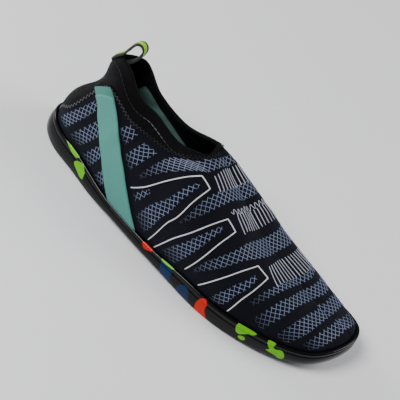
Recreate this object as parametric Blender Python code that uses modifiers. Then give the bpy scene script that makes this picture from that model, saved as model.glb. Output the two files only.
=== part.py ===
"""Water shoe for the right foot, built on one last.

Every piece is read from the same function of the last: the stretch upper, the neoprene
collar, the webbing straps laid over them, the rubber cup outsole and the insole in it.
Units are metres, +X is the toe, +Y the medial side, +Z up. The origin is on the floor
under the middle of the outsole.
"""
import math

import bmesh
import bpy
import numpy as np
from mathutils import Vector

# Driving sizes
LENGTH = 0.270            # outsole, heel to toe
BALL_HALF = 0.0476        # half the outsole's breadth at the ball
TOE_SPRING = 0.0126       # lift of the toe tip off the floor
HEEL_SPRING = 0.0015      # lift of the heel's back edge
SPRING_START = 0.70       # share of LENGTH where the toe starts to lift
HEEL_ROUND = 0.08         # share of LENGTH over which the heel's edge lifts

# Outsole
CUP_FLOOR = 0.0050        # rubber under the foot
WALL_TALL = 0.0160        # highest part of the side above the sole's edge line
LIP_INSET = 0.0018        # lip inside the outline
ARCH_LIFT = 0.0050        # medial side of the waist off the floor
FEATHER_INSET = 0.0040    # upper inside the outsole's edge
GROOVE_WIDE = 0.0018
GROOVE_DEEP = 0.0012
GROOVE_PITCH = 0.0115
FOREFOOT_GROOVES = 8
HEEL_GROOVES = 4
FOREFOOT_START = 0.58     # share of LENGTH
HEEL_START = 0.09         # share of LENGTH

# Upper and collar
UPPER_WALL = 0.0020
LAST_TALL = 0.0973        # back of the last's crest above the floor
FOOT_HEIGHT = 0.0090      # feather edge of the last above the floor
GAP = 0.0003              # clearance between pieces that touch
SEAM_GAP = 0.0004         # butt joint between upper and collar
BULGE = 0.0011            # fullness of the quarters
BULGE_TALL = 0.57         # share of LAST_TALL
WAIST = 0.0112            # hollow above the heel
WAIST_HEIGHT = 0.63       # share of LAST_TALL
WAIST_TALL = 0.205        # share of LAST_TALL
WAIST_REACH = 0.15        # share of a half outline
ARCH_FOLLOW = 0.5         # share of the arch that the last follows
CREST_FADE = 3            # how late in the reach to the crest bulge and waist fade out

# Insole
INSOLE_THICK = 0.0033

# Straps
STRAP_THICK = 0.0011
STRAP_FOLD = 0.0021       # folded top end
STRAP_CLEAR = 0.0008      # under the webbing, where the faceted wall stands proud

# Pull loop
LOOP_WIDE = 0.0076
LOOP_THICK = 0.0014
LOOP_CUP = 0.0065         # radius that the webbing takes across its width
LOOP_OUTSIDE = 0.0007     # clearance of the leg on the heel's back
LOOP_INSIDE = 0.0024      # clearance of the leg inside the collar
LOOP_Y = 0.0010           # middle of the loop, towards the medial side
LOOP_RISE = 0.0202        # top of the loop's middle over the rim

# Mesh density
COLUMNS = 32              # along each half of the outline
CROWDING = 0.5            # how much closer the columns stand at heel and toe
ROWS = 15                 # up each column
CURVE_STEPS = 24          # samples between two outline points
SOLE_STRIPS = 7           # strips across the sole
INSOLE_STRIPS = 6
WEBBING_STRIPS = 4        # strips across a strap or the loop
MERGE = 1e-6              # vertices closer than this are one

# Outsole's outline: share of LENGTH from the heel, share of BALL_HALF (lateral negative)
OUTLINE = (
    (0.00, -0.03), (0.02, -0.31), (0.07, -0.50), (0.15, -0.61), (0.26, -0.77), (0.40, -0.90),
    (0.54, -0.97), (0.66, -1.00), (0.77, -0.90), (0.87, -0.71), (0.945, -0.46), (0.985, -0.10),
    (1.00, 0.30), (0.985, 0.60), (0.94, 0.78), (0.86, 0.89), (0.76, 0.95), (0.66, 0.91),
    (0.54, 0.75), (0.42, 0.60), (0.30, 0.59), (0.17, 0.64), (0.07, 0.56), (0.02, 0.27),
)
TOE_ROW = 12

# Lift of the waist: share of LENGTH, shares of ARCH_LIFT at the lateral and medial edge
ARCH = (
    (0.00, 0.0, 0.0), (0.20, 0.0, 0.0), (0.34, 0.50, 1.00), (0.46, 0.44, 0.90),
    (0.60, 0.0, 0.0), (1.00, 0.0, 0.0),
)

# Crest of the last: share of a half outline, share of LENGTH, share of BALL_HALF towards
# the medial side, share of LAST_TALL, fullness of the lateral and of the medial quarter
CREST = (
    (0.00, 0.176, 0.03, 1.000, 3.20, 3.20),
    (0.10, 0.187, 0.05, 0.977, 2.96, 2.85),
    (0.22, 0.220, 0.07, 0.827, 2.32, 2.15),
    (0.34, 0.302, 0.07, 0.781, 2.08, 1.95),
    (0.46, 0.395, 0.11, 0.843, 2.20, 2.03),
    (0.58, 0.498, 0.11, 0.704, 2.00, 2.20),
    (0.70, 0.628, 0.13, 0.503, 2.00, 2.15),
    (0.82, 0.758, 0.17, 0.382, 2.05, 2.12),
    (0.92, 0.860, 0.19, 0.317, 2.05, 2.12),
    (1.00, 0.890, 0.19, 0.305, 1.95, 1.95),
)

# Collar's rim: share of a half outline, share of the crest's height, lateral and medial
RIM = (
    (0.00, 0.905, 0.905), (0.08, 0.945, 0.925), (0.16, 0.922, 0.934), (0.26, 0.965, 0.918),
    (0.36, 0.948, 0.945), (0.43, 0.962, 0.958), (0.465, 0.978, 0.976), (0.475, 1.0, 1.0),
)
THROAT = 0.475

# Seam between upper and collar: share of a half outline, share of a column's quarter turn
SEAM = (
    (0.020, -1.30), (0.024, -0.40), (0.028, 0.06), (0.040, 0.115), (0.056, 0.150),
    (0.068, 0.180), (0.075, 0.230), (0.078, 0.290), (0.082, 0.350), (0.095, 0.415),
    (0.120, 0.465), (0.160, 0.492), (0.195, 0.520), (0.245, 0.580), (0.302, 0.640),
    (0.361, 0.685), (0.430, 0.765), (0.470, 0.865), (0.495, 1.000),
)
SEAM_REACH = (0.30, 0.10)  # what the two shares measure along the foot and up a column
SEAM_STEPS = 60           # samples along the seam on each side
SEAM_STOP = 0.0050        # how far short of the crest the samples end

# Outsole's wall height: share of a half outline, share of WALL_TALL
WALL_HEIGHT = (
    (0.00, 0.91), (0.12, 1.00), (0.30, 0.70), (0.42, 0.73), (0.56, 0.93), (0.68, 0.94),
    (0.85, 0.75), (1.00, 0.70),
)

# Outsole's side from floor to lip: share of the wall's height, share of LIP_INSET
SIDEWALL = (
    (0.00, 0.78), (0.12, 0.17), (0.40, 0.00), (0.68, 0.39), (0.76, 0.78), (0.82, 0.44),
    (0.93, 0.50), (1.00, 1.00),
)

# Strap's edges from the folded top end to the sole: share of a half outline and of a
# column's quarter turn, rear edge and then front edge
STRAP = (
    (0.068, 0.338, 0.112, 0.469), (0.090, 0.338, 0.135, 0.465), (0.092, 0.338, 0.137, 0.464),
    (0.114, 0.337, 0.165, 0.445), (0.143, 0.305, 0.206, 0.412), (0.172, 0.271, 0.240, 0.360),
    (0.211, 0.204, 0.273, 0.303), (0.238, 0.135, 0.318, 0.186), (0.265, 0.059, 0.355, 0.080),
    (0.285, 0.000, 0.385, 0.000),
)
STRAP_LIFT = 0.012        # strap's lower end above the outsole's lip, share of a column

# Pull loop's free arc from the rim's outer edge: shares of LOOP_RISE forward and up
LOOP_ARC = (
    (0.05, 0.22), (0.12, 0.50), (0.19, 0.76), (0.28, 0.94), (0.40, 1.00),
    (0.52, 0.95), (0.60, 0.78), (0.57, 0.50), (0.49, 0.26), (0.40, 0.10),
)
LOOP_LEGS = (0.87, 0.925, 0.98)   # shares of the heel column where the legs lie on the wall


def spread(rows, column, at):
    """Monotone cubic through one column of a table."""
    table = np.array(rows)
    x = table[:, 0]
    y = table[:, column]
    step = np.diff(x)
    slope = np.diff(y) / step
    tangent = np.zeros(len(x))
    tangent[0] = slope[0]
    tangent[-1] = slope[-1]
    for i in range(1, len(x) - 1):
        if slope[i - 1] * slope[i] > 0:
            before = 2 * step[i] + step[i - 1]
            after = step[i] + 2 * step[i - 1]
            tangent[i] = (before + after) / (before / slope[i - 1] + after / slope[i])
    i = np.clip(np.searchsorted(x, at) - 1, 0, len(x) - 2)
    t = np.clip((at - x[i]) / step[i], 0, 1)
    left = (1 + 2 * t) * (1 - t) ** 2 * y[i] + t * (1 - t) ** 2 * step[i] * tangent[i]
    right = t * t * (3 - 2 * t) * y[i + 1] + t * t * (t - 1) * step[i] * tangent[i + 1]
    return left + right


def closed_curve(points, steps):
    """Centripetal Catmull-Rom curve through a closed ring of points."""
    curve = []
    count = len(points)
    for i in range(count):
        p0, p1, p2, p3 = (points[(i + k) % count] for k in (-1, 0, 1, 2))
        d01 = np.linalg.norm(p1 - p0) ** 0.5
        d12 = np.linalg.norm(p2 - p1) ** 0.5
        d23 = np.linalg.norm(p3 - p2) ** 0.5
        leave = (p2 - p1) + d12 * ((p1 - p0) / d01 - (p2 - p0) / (d01 + d12))
        arrive = (p2 - p1) + d12 * ((p3 - p2) / d23 - (p3 - p1) / (d12 + d23))
        for t in np.arange(steps) / steps:
            start = (2 * t ** 3 - 3 * t * t + 1) * p1 + (t ** 3 - 2 * t * t + t) * leave
            end = (3 * t * t - 2 * t ** 3) * p2 + (t ** 3 - t * t) * arrive
            curve.append(start + end)
    return np.array(curve)


def half_outlines():
    """Lateral and medial half of the outline: share of run, points, outward normals."""
    ring = closed_curve(np.array(OUTLINE) * (LENGTH, BALL_HALF), CURVE_STEPS)
    ring -= (ring.max(axis=0) + ring.min(axis=0)) / 2
    toe = TOE_ROW * CURVE_STEPS
    lateral = ring[:toe + 1]
    medial = np.vstack([ring[:1], ring[:toe - 1:-1]])
    halves = []
    for path, turn in ((lateral, 1), (medial, -1)):
        along = np.gradient(path, axis=0)
        outward = turn * np.column_stack([along[:, 1], -along[:, 0]])
        outward /= np.linalg.norm(outward, axis=1)[:, None]
        outward[0] = (-1, 0)
        outward[-1] = (1, 0)
        run = np.concatenate([[0], np.cumsum(np.linalg.norm(np.diff(path, axis=0), axis=1))])
        halves.append((run / run[-1], path, outward))
    return halves


HALVES = half_outlines()
LATERAL, MEDIAL = 0, 1


def edge(side, s):
    """Outline point and outward normal at a share of one half outline."""
    share, path, outward = HALVES[side]
    xy = np.stack([np.interp(s, share, path[:, k]) for k in (0, 1)], axis=-1)
    normal = np.stack([np.interp(s, share, outward[:, k]) for k in (0, 1)], axis=-1)
    return xy, normal / np.linalg.norm(normal, axis=-1)[..., None]


def rocker(x):
    """Lift of the sole's line off the floor by toe and heel spring."""
    share = x / LENGTH + 0.5
    toe = np.clip((share - SPRING_START) / (1 - SPRING_START), 0, 1)
    heel = np.clip((HEEL_ROUND - share) / HEEL_ROUND, 0, 1)
    return TOE_SPRING * toe ** 2 + HEEL_SPRING * heel ** 2


def arch(x, across):
    """Lift of the waist; across runs from 0 at the lateral edge to 1 at the medial edge."""
    share = x / LENGTH + 0.5
    lateral, medial = spread(ARCH, 1, share), spread(ARCH, 2, share)
    return ARCH_LIFT * (lateral * (1 - across) ** 2 + medial * across ** 2)


def foot_bed(x, across, height):
    """Height of a level of the last that follows the rocker and part of the arch."""
    return height + rocker(x) + ARCH_FOLLOW * arch(x, across)


def skin(side, s, turn, out=0.0):
    """Point on the outside of the last.

    s runs along a half outline from heel to toe. turn runs up the column from 0 at the
    feather edge to 1 at the crest; below 0 the column drops straight to the cup's floor.
    """
    s, turn = np.broadcast_arrays(np.asarray(s, float), np.asarray(turn, float))
    if out:
        tiny = 1e-3
        ahead, behind = np.minimum(s + tiny, 1), np.maximum(s - tiny, 0)
        above, below = turn + tiny, turn - tiny
        above, below = np.where(turn < 1, above, turn), below
        along = skin(side, ahead, turn) - skin(side, behind, turn)
        up = skin(side, s, above) - skin(side, s, below)
        hand = 1 if side == LATERAL else -1
        along[s <= 0] = (0, -hand, 0)
        along[s >= 1] = (0, hand, 0)
        normal = np.cross(along, up) * hand
        normal /= np.linalg.norm(normal, axis=-1)[..., None]
        return skin(side, s, turn) + normal * out
    xy, outward = edge(side, s)
    foot = xy - outward * FEATHER_INSET
    floor = foot_bed(xy[..., 0], side, FOOT_HEIGHT)
    crest_x = (spread(CREST, 1, s) - 0.5) * LENGTH
    crest_y = spread(CREST, 2, s) * BALL_HALF
    top = spread(CREST, 3, s) * LAST_TALL
    full = spread(CREST, 4 + side, s)
    angle = np.clip(turn, 0, 1) * math.pi / 2
    radius = (np.cos(angle) ** full + np.sin(angle) ** full) ** (-1 / full)
    reach = 1 - np.cos(angle) * radius
    drop = np.minimum(turn, 0) * (FOOT_HEIGHT - CUP_FLOOR - GAP)
    z = floor + (top - floor) * np.sin(angle) * radius + drop
    bulge = np.sin(math.pi * np.clip((z - floor) / (BULGE_TALL * LAST_TALL), 0, 1))
    off_waist = (z / LAST_TALL - WAIST_HEIGHT) / WAIST_TALL
    hollow = np.exp(-(s / WAIST_REACH) ** 2 - off_waist ** 2)
    push = (BULGE * bulge - WAIST * hollow) * (1 - reach ** CREST_FADE)
    crest = np.stack([crest_x, crest_y], axis=-1)
    xy = foot + (crest - foot) * reach[..., None] + outward * push[..., None]
    return np.concatenate([xy, z[..., None]], axis=-1)


def turn_at(side, s, height_share):
    """Place on a column at a share of the crest's height above the feather edge."""
    full = spread(CREST, 4 + side, s)
    level = np.clip(height_share, 0, 1)
    return np.arctan2(level, (1 - level ** full) ** (1 / full)) * 2 / math.pi


def rim(side, s):
    """Top of a column: the collar's rim, or the crest in front of the throat."""
    height = np.where(s < THROAT, spread(RIM, 1 + side, s), 1.0)
    return turn_at(side, s, height)


def lip(side, s):
    """Place on a column level with the top of the outsole's wall."""
    x = edge(side, s)[0][..., 0]
    floor = foot_bed(x, side, FOOT_HEIGHT)
    level = rocker(x) + WALL_TALL * spread(WALL_HEIGHT, 1, s)
    return turn_at(side, s, (level - floor) / (LAST_TALL * spread(CREST, 3, s) - floor))


def stations():
    """Shares of a half outline for the columns, with the throat on one of them."""
    rear = round(COLUMNS * THROAT)
    heel = np.linspace(0, 1, rear + 1)
    heel = heel * (1 - CROWDING) + (1 - np.cos(heel * math.pi / 2)) * CROWDING
    toe = np.linspace(0, 1, COLUMNS - rear + 1)
    toe = toe * (1 - CROWDING) + np.sin(toe * math.pi / 2) * CROWDING
    return np.concatenate([heel * THROAT, THROAT + toe[1:] * (1 - THROAT)])


STATIONS = stations()


def clear_scene():
    for old in list(bpy.data.objects):
        bpy.data.objects.remove(old, do_unlink=True)


def collection(name, hidden=False):
    group = bpy.data.collections.new(name)
    bpy.context.scene.collection.children.link(group)
    group.hide_render = hidden
    return group


def material(name, colour, roughness):
    finish = bpy.data.materials.new(name)
    finish.use_nodes = True
    finish.diffuse_color = (*colour, 1)
    surface = finish.node_tree.nodes["Principled BSDF"]
    surface.inputs["Base Color"].default_value = (*colour, 1)
    surface.inputs["Roughness"].default_value = roughness
    surface.inputs["Metallic"].default_value = 0.0
    return finish


def add_object(name, build, group, finish=None):
    """Object from a bmesh, with merged doubles and faces turned outward."""
    bmesh.ops.remove_doubles(build, verts=build.verts, dist=MERGE)
    bmesh.ops.dissolve_degenerate(build, edges=build.edges, dist=MERGE)
    bmesh.ops.recalc_face_normals(build, faces=build.faces)
    mesh = bpy.data.meshes.new(name)
    build.to_mesh(mesh)
    build.free()
    mesh.shade_smooth()
    thing = bpy.data.objects.new(name, mesh)
    group.objects.link(thing)
    if finish:
        mesh.materials.append(finish)
    return thing


def grid_faces(build, grid, closed=False):
    """Quads between rows of points; closed joins the last column to the first."""
    verts = [[build.verts.new(Vector(point)) for point in row] for row in grid]
    count = len(verts[0])
    for lower, upper in zip(verts, verts[1:]):
        for i in range(count if closed else count - 1):
            j = (i + 1) % count
            build.faces.new((lower[i], lower[j], upper[j], upper[i]))


def solidify(thing, thickness, offset):
    shell = thing.modifiers.new("Wall", "SOLIDIFY")
    shell.thickness = thickness
    shell.offset = offset
    shell.use_even_offset = True


def apply_modifiers(thing):
    """Replaces the object's mesh by its evaluated one."""
    graph = bpy.context.evaluated_depsgraph_get()
    mesh = bpy.data.meshes.new_from_object(thing.evaluated_get(graph))
    thing.modifiers.clear()
    thing.data = mesh


def last_shell(group, finish):
    """Hollow solid of the whole upper, open at the collar and underneath."""
    build = bmesh.new()
    for side in (LATERAL, MEDIAL):
        low = lip(side, STATIONS)
        high = rim(side, STATIONS)
        rise = np.linspace(0, 1, ROWS - 2)[1:]
        rows = [np.full_like(low, -1.0), np.zeros_like(low), low / 2, low]
        rows += [low + (high - low) * share for share in rise]
        grid = [skin(side, STATIONS, turn) for turn in rows]
        grid_faces(build, grid)
    shell = add_object("upper", build, group, finish)
    turn_outward(shell)
    solidify(shell, UPPER_WALL, -1)
    apply_modifiers(shell)
    return shell


def turn_outward(sheet):
    """Faces of an open sheet away from the axis of the last."""
    build = bmesh.new()
    build.from_mesh(sheet.data)
    build.normal_update()
    centre = Vector((0, 0, FOOT_HEIGHT))
    facing = sum((f.calc_center_median() - centre).dot(f.normal) * f.calc_area() for f in build.faces)
    if facing < 0:
        bmesh.ops.reverse_faces(build, faces=build.faces)
    build.to_mesh(sheet.data)
    build.free()


def seam_blade(group):
    """Thin closed ribbon through the wall along the collar's seam."""
    step = np.linalg.norm(np.diff(SEAM, axis=0) * SEAM_REACH, axis=1)
    run = np.concatenate([[0], np.cumsum(step)])
    table = np.column_stack([run, SEAM])
    at = np.linspace(0, run[-1] - SEAM_STOP, SEAM_STEPS)
    samples, turn = spread(table, 1, at), spread(table, 2, at)
    inner, outer = [], []
    for side, order in ((LATERAL, 1), (MEDIAL, -1)):
        for points, depth in ((inner, -2 * UPPER_WALL), (outer, UPPER_WALL)):
            points.extend(skin(side, samples, turn, depth)[::order])
    build = bmesh.new()
    grid_faces(build, [inner, outer])
    blade = add_object("seam_blade", build, group)
    blade.display_type = "WIRE"
    solidify(blade, SEAM_GAP, 0)
    apply_modifiers(blade)
    return blade


def cut(thing, cutter, operation="DIFFERENCE"):
    knife = thing.modifiers.new("Cut", "BOOLEAN")
    knife.operation = operation
    knife.object = cutter
    knife.solver = "EXACT"
    apply_modifiers(thing)


def loose_parts(mesh):
    """Vertex sets of the mesh's separate bodies."""
    build = bmesh.new()
    build.from_mesh(mesh)
    seen = set()
    bodies = []
    for start in build.verts:
        if start.index in seen:
            continue
        body, queue = set(), [start]
        while queue:
            vert = queue.pop()
            if vert.index in body:
                continue
            body.add(vert.index)
            queue.extend(link.other_vert(vert) for link in vert.link_edges)
        seen |= body
        bodies.append(body)
    build.free()
    return bodies


def keep_part(thing, keep):
    build = bmesh.new()
    build.from_mesh(thing.data)
    gone = [vert for vert in build.verts if vert.index not in keep]
    bmesh.ops.delete(build, geom=gone, context="VERTS")
    build.to_mesh(thing.data)
    build.free()


def upper_and_collar(group, cutters, knit, neoprene):
    """The last's shell, parted along the seam into knit upper and neoprene collar."""
    upper = last_shell(group, knit)
    cut(upper, seam_blade(cutters))
    collar = bpy.data.objects.new("collar", upper.data.copy())
    group.objects.link(collar)
    collar.data.materials.clear()
    collar.data.materials.append(neoprene)
    height = {}
    for body in loose_parts(upper.data):
        height[max(upper.data.vertices[i].co.z for i in body)] = body
    ordered = [height[key] for key in sorted(height)]
    keep_part(upper, ordered[0])
    keep_part(collar, ordered[-1])
    return upper, collar


def sole_section(s):
    """Closed section of the cup outsole at one station, lateral floor edge first."""
    walls = []
    for side in (LATERAL, MEDIAL):
        xy, outward = edge(side, s)
        base = rocker(xy[0]) + arch(xy[0], side)
        top = rocker(xy[0]) + WALL_TALL * spread(WALL_HEIGHT, 1, s)
        outside = []
        for share, inset in SIDEWALL:
            point = xy - outward * inset * LIP_INSET
            outside.append((point[0], point[1], base + (top - base) * share))
        lip_turn = lip(side, s)
        inside = [skin(side, s, turn, GAP) for turn in (lip_turn, lip_turn / 2, 0.0, -1.0)]
        x, y, _ = inside[-1]
        inside[-1] = (x, y, foot_bed(x, side, CUP_FLOOR))
        walls.append((outside, inside))
    (lateral_out, lateral_in), (medial_out, medial_in) = walls
    across = np.linspace(0, 1, SOLE_STRIPS + 1)[1:-1]
    bottom, floor = [], []
    for share in across:
        x, y = (np.array(lateral_out[0]) * (1 - share) + np.array(medial_out[0]) * share)[:2]
        bottom.append((x, y, rocker(x) + arch(x, share)))
        x, y = (np.array(lateral_in[-1]) * (1 - share) + np.array(medial_in[-1]) * share)[:2]
        floor.append((x, y, foot_bed(x, share, CUP_FLOOR)))
    ring = lateral_out[::-1] + bottom + medial_out + medial_in + floor[::-1] + lateral_in[::-1]
    return [tuple(point) for point in ring]


def tread_cutters(group):
    """Flex grooves across the forefoot and heel."""
    build = bmesh.new()
    runs = ((FOREFOOT_START, FOREFOOT_GROOVES), (HEEL_START, HEEL_GROOVES))
    for start, count in runs:
        for i in range(count):
            x = (start - 0.5) * LENGTH + i * GROOVE_PITCH
            made = bmesh.ops.create_cube(build, size=1.0)["verts"]
            size = (GROOVE_WIDE, 3 * BALL_HALF, 2 * GROOVE_DEEP)
            bmesh.ops.scale(build, vec=size, verts=made)
            bmesh.ops.translate(build, vec=(x, 0, rocker(x)), verts=made)
    cutter = add_object("tread_cutter", build, group)
    cutter.display_type = "WIRE"
    return cutter


def outsole(group, cutters, rubber):
    """Cup outsole: sidewall with a bead at its lip, arch, toe spring and grooves."""
    build = bmesh.new()
    grid_faces(build, [sole_section(s) for s in STATIONS], closed=True)
    sole = add_object("outsole", build, group, rubber)
    cut(sole, tread_cutters(cutters))
    return sole


def insole(group, foam):
    """Foam insole inside the upper, on the cup's floor."""
    inset = FEATHER_INSET + UPPER_WALL + GAP
    across = np.linspace(0, 1, INSOLE_STRIPS + 1)
    grid = []
    for s in STATIONS:
        ends = []
        for side in (LATERAL, MEDIAL):
            xy, outward = edge(side, s)
            ends.append(xy - outward * inset)
        row = []
        for share in across:
            x, y = ends[LATERAL] * (1 - share) + ends[MEDIAL] * share
            row.append((x, y, foot_bed(x, share, CUP_FLOOR + GAP + INSOLE_THICK)))
        grid.append(row)
    build = bmesh.new()
    grid_faces(build, grid)
    pad = add_object("insole", build, group, foam)
    turn_outward(pad)
    solidify(pad, INSOLE_THICK, -1)
    apply_modifiers(pad)
    return pad


def strap(name, side, group, webbing):
    """Webbing laid over upper and collar, with its top end folded double."""
    across = np.linspace(0, 1, WEBBING_STRIPS + 1)
    table = np.array(STRAP)
    layers = []
    for depth in (STRAP_CLEAR, None):
        grid = []
        for i, (rear_s, rear_turn, front_s, front_turn) in enumerate(table):
            out = depth or STRAP_CLEAR + (STRAP_FOLD if i < 2 else STRAP_THICK)
            s = rear_s + (front_s - rear_s) * across
            turn = rear_turn + (front_turn - rear_turn) * across
            turn = np.maximum(turn, lip(side, s) + STRAP_LIFT)
            grid.append(skin(side, s, turn, out))
        layers.append(grid)
    build = bmesh.new()
    inner, outer = layers
    rings = [list(low) + list(high[::-1]) for low, high in zip(inner, outer)]
    grid_faces(build, rings, closed=True)
    for low, high in ((inner[0], outer[0]), (inner[-1], outer[-1])):
        grid_faces(build, [low, high])
    return add_object(name, build, group, webbing)


def pull_loop(group, webbing):
    """Webbing loop over the rim at the back of the heel."""
    start = np.zeros(1)
    top = rim(LATERAL, start)
    outside = LOOP_OUTSIDE + LOOP_THICK / 2
    inside = -(UPPER_WALL + LOOP_INSIDE + LOOP_THICK / 2)
    edge_x, _, edge_z = skin(LATERAL, start, top)[0]
    back = [skin(LATERAL, start, top * share, outside)[0] for share in LOOP_LEGS]
    front = [skin(LATERAL, start, top * share, inside)[0] for share in LOOP_LEGS[::-1]]
    run = [(point[0], point[2]) for point in back]
    run += [(edge_x + forward, edge_z + up) for forward, up in np.array(LOOP_ARC) * LOOP_RISE]
    run += [(point[0], point[2]) for point in front]
    across = np.linspace(-0.5, 0.5, WEBBING_STRIPS + 1) * LOOP_WIDE
    grid = []
    for x, z in run:
        grid.append([(x + y * y / (2 * LOOP_CUP), y + LOOP_Y, z) for y in across])
    build = bmesh.new()
    grid_faces(build, grid)
    loop = add_object("pull_loop", build, group, webbing)
    solidify(loop, LOOP_THICK, 0)
    apply_modifiers(loop)
    return loop


def build_shoe():
    clear_scene()
    shoe = collection("water_shoe")
    cutters = collection("cutters", hidden=True)
    knit = material("knit", (0.012, 0.013, 0.020), 0.85)
    neoprene = material("neoprene", (0.006, 0.006, 0.008), 0.65)
    rubber = material("rubber", (0.006, 0.006, 0.007), 0.30)
    foam = material("foam", (0.10, 0.26, 0.21), 0.90)
    mint = material("mint_webbing", (0.22, 0.52, 0.42), 0.75)
    lime = material("lime_webbing", (0.35, 0.70, 0.01), 0.70)
    upper_and_collar(shoe, cutters, knit, neoprene)
    outsole(shoe, cutters, rubber)
    insole(shoe, foam)
    strap("strap_lateral", LATERAL, shoe, mint)
    strap("strap_medial", MEDIAL, shoe, mint)
    pull_loop(shoe, lime)
    for cutter in cutters.objects:
        cutter.hide_render = True


build_shoe()
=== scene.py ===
"""A right foot's slip-on water shoe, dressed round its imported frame. Metres, toe at +X."""
import math

import bpy
import bmesh
import numpy as np
from mathutils import Matrix, Vector


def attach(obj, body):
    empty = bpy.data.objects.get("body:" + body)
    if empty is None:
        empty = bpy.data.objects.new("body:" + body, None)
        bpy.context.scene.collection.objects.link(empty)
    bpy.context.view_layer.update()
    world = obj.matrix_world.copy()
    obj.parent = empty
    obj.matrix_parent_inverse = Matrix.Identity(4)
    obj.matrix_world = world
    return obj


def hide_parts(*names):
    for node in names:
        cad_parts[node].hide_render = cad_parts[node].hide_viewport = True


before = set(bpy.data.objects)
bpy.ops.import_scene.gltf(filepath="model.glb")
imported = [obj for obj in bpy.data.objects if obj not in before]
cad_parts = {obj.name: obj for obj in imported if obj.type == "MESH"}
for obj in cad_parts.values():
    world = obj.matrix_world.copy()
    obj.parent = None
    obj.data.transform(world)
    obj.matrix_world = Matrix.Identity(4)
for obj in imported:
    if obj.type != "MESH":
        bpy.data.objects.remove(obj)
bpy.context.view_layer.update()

# OUTSOLE. One cup of moulded black rubber that the upper is glued into, glossy where the
# mould was polished, with lime, orange and blue rubber poured into its side before pressing.
# Its shape is read from the shoe's last, the same form that the part's source uses.
LENGTH = 0.270
BALL_HALF = 0.0476
TOE_SPRING, HEEL_SPRING, SPRING_START, HEEL_ROUND = 0.0126, 0.0015, 0.70, 0.08
CUP_FLOOR, FEATHER_INSET, FOOT_HEIGHT, GAP = 0.0050, 0.0040, 0.0090, 0.0003
WALL_TALL, LIP_INSET, ARCH_LIFT, ARCH_FOLLOW = 0.0160, 0.0018, 0.0050, 0.5
LAST_TALL, BULGE, BULGE_TALL, CREST_FADE = 0.0973, 0.0011, 0.57, 3
WAIST, WAIST_HEIGHT, WAIST_TALL, WAIST_REACH = 0.0112, 0.63, 0.205, 0.15
OUTLINE = (
    (0.00, -0.03), (0.02, -0.31), (0.07, -0.50), (0.15, -0.61), (0.26, -0.77), (0.40, -0.90),
    (0.54, -0.97), (0.66, -1.00), (0.77, -0.90), (0.87, -0.71), (0.945, -0.46), (0.985, -0.10),
    (1.00, 0.30), (0.985, 0.60), (0.94, 0.78), (0.86, 0.89), (0.76, 0.95), (0.66, 0.91),
    (0.54, 0.75), (0.42, 0.60), (0.30, 0.59), (0.17, 0.64), (0.07, 0.56), (0.02, 0.27),
)
TOE_ROW = 12
ARCH = (
    (0.00, 0.0, 0.0), (0.20, 0.0, 0.0), (0.34, 0.50, 1.00), (0.46, 0.44, 0.90),
    (0.60, 0.0, 0.0), (1.00, 0.0, 0.0),
)
CREST = (
    (0.00, 0.176, 0.03, 1.000, 3.20, 3.20),
    (0.10, 0.187, 0.05, 0.977, 2.96, 2.85),
    (0.22, 0.220, 0.07, 0.827, 2.32, 2.15),
    (0.34, 0.302, 0.07, 0.781, 2.08, 1.95),
    (0.46, 0.395, 0.11, 0.843, 2.20, 2.03),
    (0.58, 0.498, 0.11, 0.704, 2.00, 2.20),
    (0.70, 0.628, 0.13, 0.503, 2.00, 2.15),
    (0.82, 0.758, 0.17, 0.382, 2.05, 2.12),
    (0.92, 0.860, 0.19, 0.317, 2.05, 2.12),
    (1.00, 0.890, 0.19, 0.305, 1.95, 1.95),
)
WALL_HEIGHT = (
    (0.00, 0.91), (0.12, 1.00), (0.30, 0.70), (0.42, 0.73), (0.56, 0.93), (0.68, 0.94),
    (0.85, 0.75), (1.00, 0.70),
)
SIDEWALL = (
    (0.00, 0.78), (0.12, 0.17), (0.40, 0.00), (0.68, 0.39), (0.76, 0.78), (0.82, 0.44),
    (0.93, 0.50), (1.00, 1.00),
)
LATERAL, MEDIAL = 0, 1
HALF_RUN = 0.300     # length of half the outline, for sizes along it


def spread(rows, column, at):
    """Monotone cubic through one column of a table."""
    table = np.array(rows)
    x, y = table[:, 0], table[:, column]
    step = np.diff(x)
    slope = np.diff(y) / step
    tangent = np.zeros(len(x))
    tangent[0], tangent[-1] = slope[0], slope[-1]
    for i in range(1, len(x) - 1):
        if slope[i - 1] * slope[i] > 0:
            before, after = 2 * step[i] + step[i - 1], step[i] + 2 * step[i - 1]
            tangent[i] = (before + after) / (before / slope[i - 1] + after / slope[i])
    i = np.clip(np.searchsorted(x, at) - 1, 0, len(x) - 2)
    t = np.clip((at - x[i]) / step[i], 0, 1)
    left = (1 + 2 * t) * (1 - t) ** 2 * y[i] + t * (1 - t) ** 2 * step[i] * tangent[i]
    return left + t * t * (3 - 2 * t) * y[i + 1] + t * t * (t - 1) * step[i] * tangent[i + 1]


def unit(vectors, least=0.0):
    """The vectors at length 1; least keeps one without length from dividing by nothing."""
    return vectors / (np.linalg.norm(vectors, axis=-1)[..., None] + least)


def lengths(grid, axis):
    """Running length along one axis of a grid of points."""
    step = np.linalg.norm(np.diff(grid, axis=axis), axis=-1)
    first = np.zeros_like(np.take(step, [0], axis=axis))
    return np.concatenate([first, np.cumsum(step, axis=axis)], axis=axis)


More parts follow.
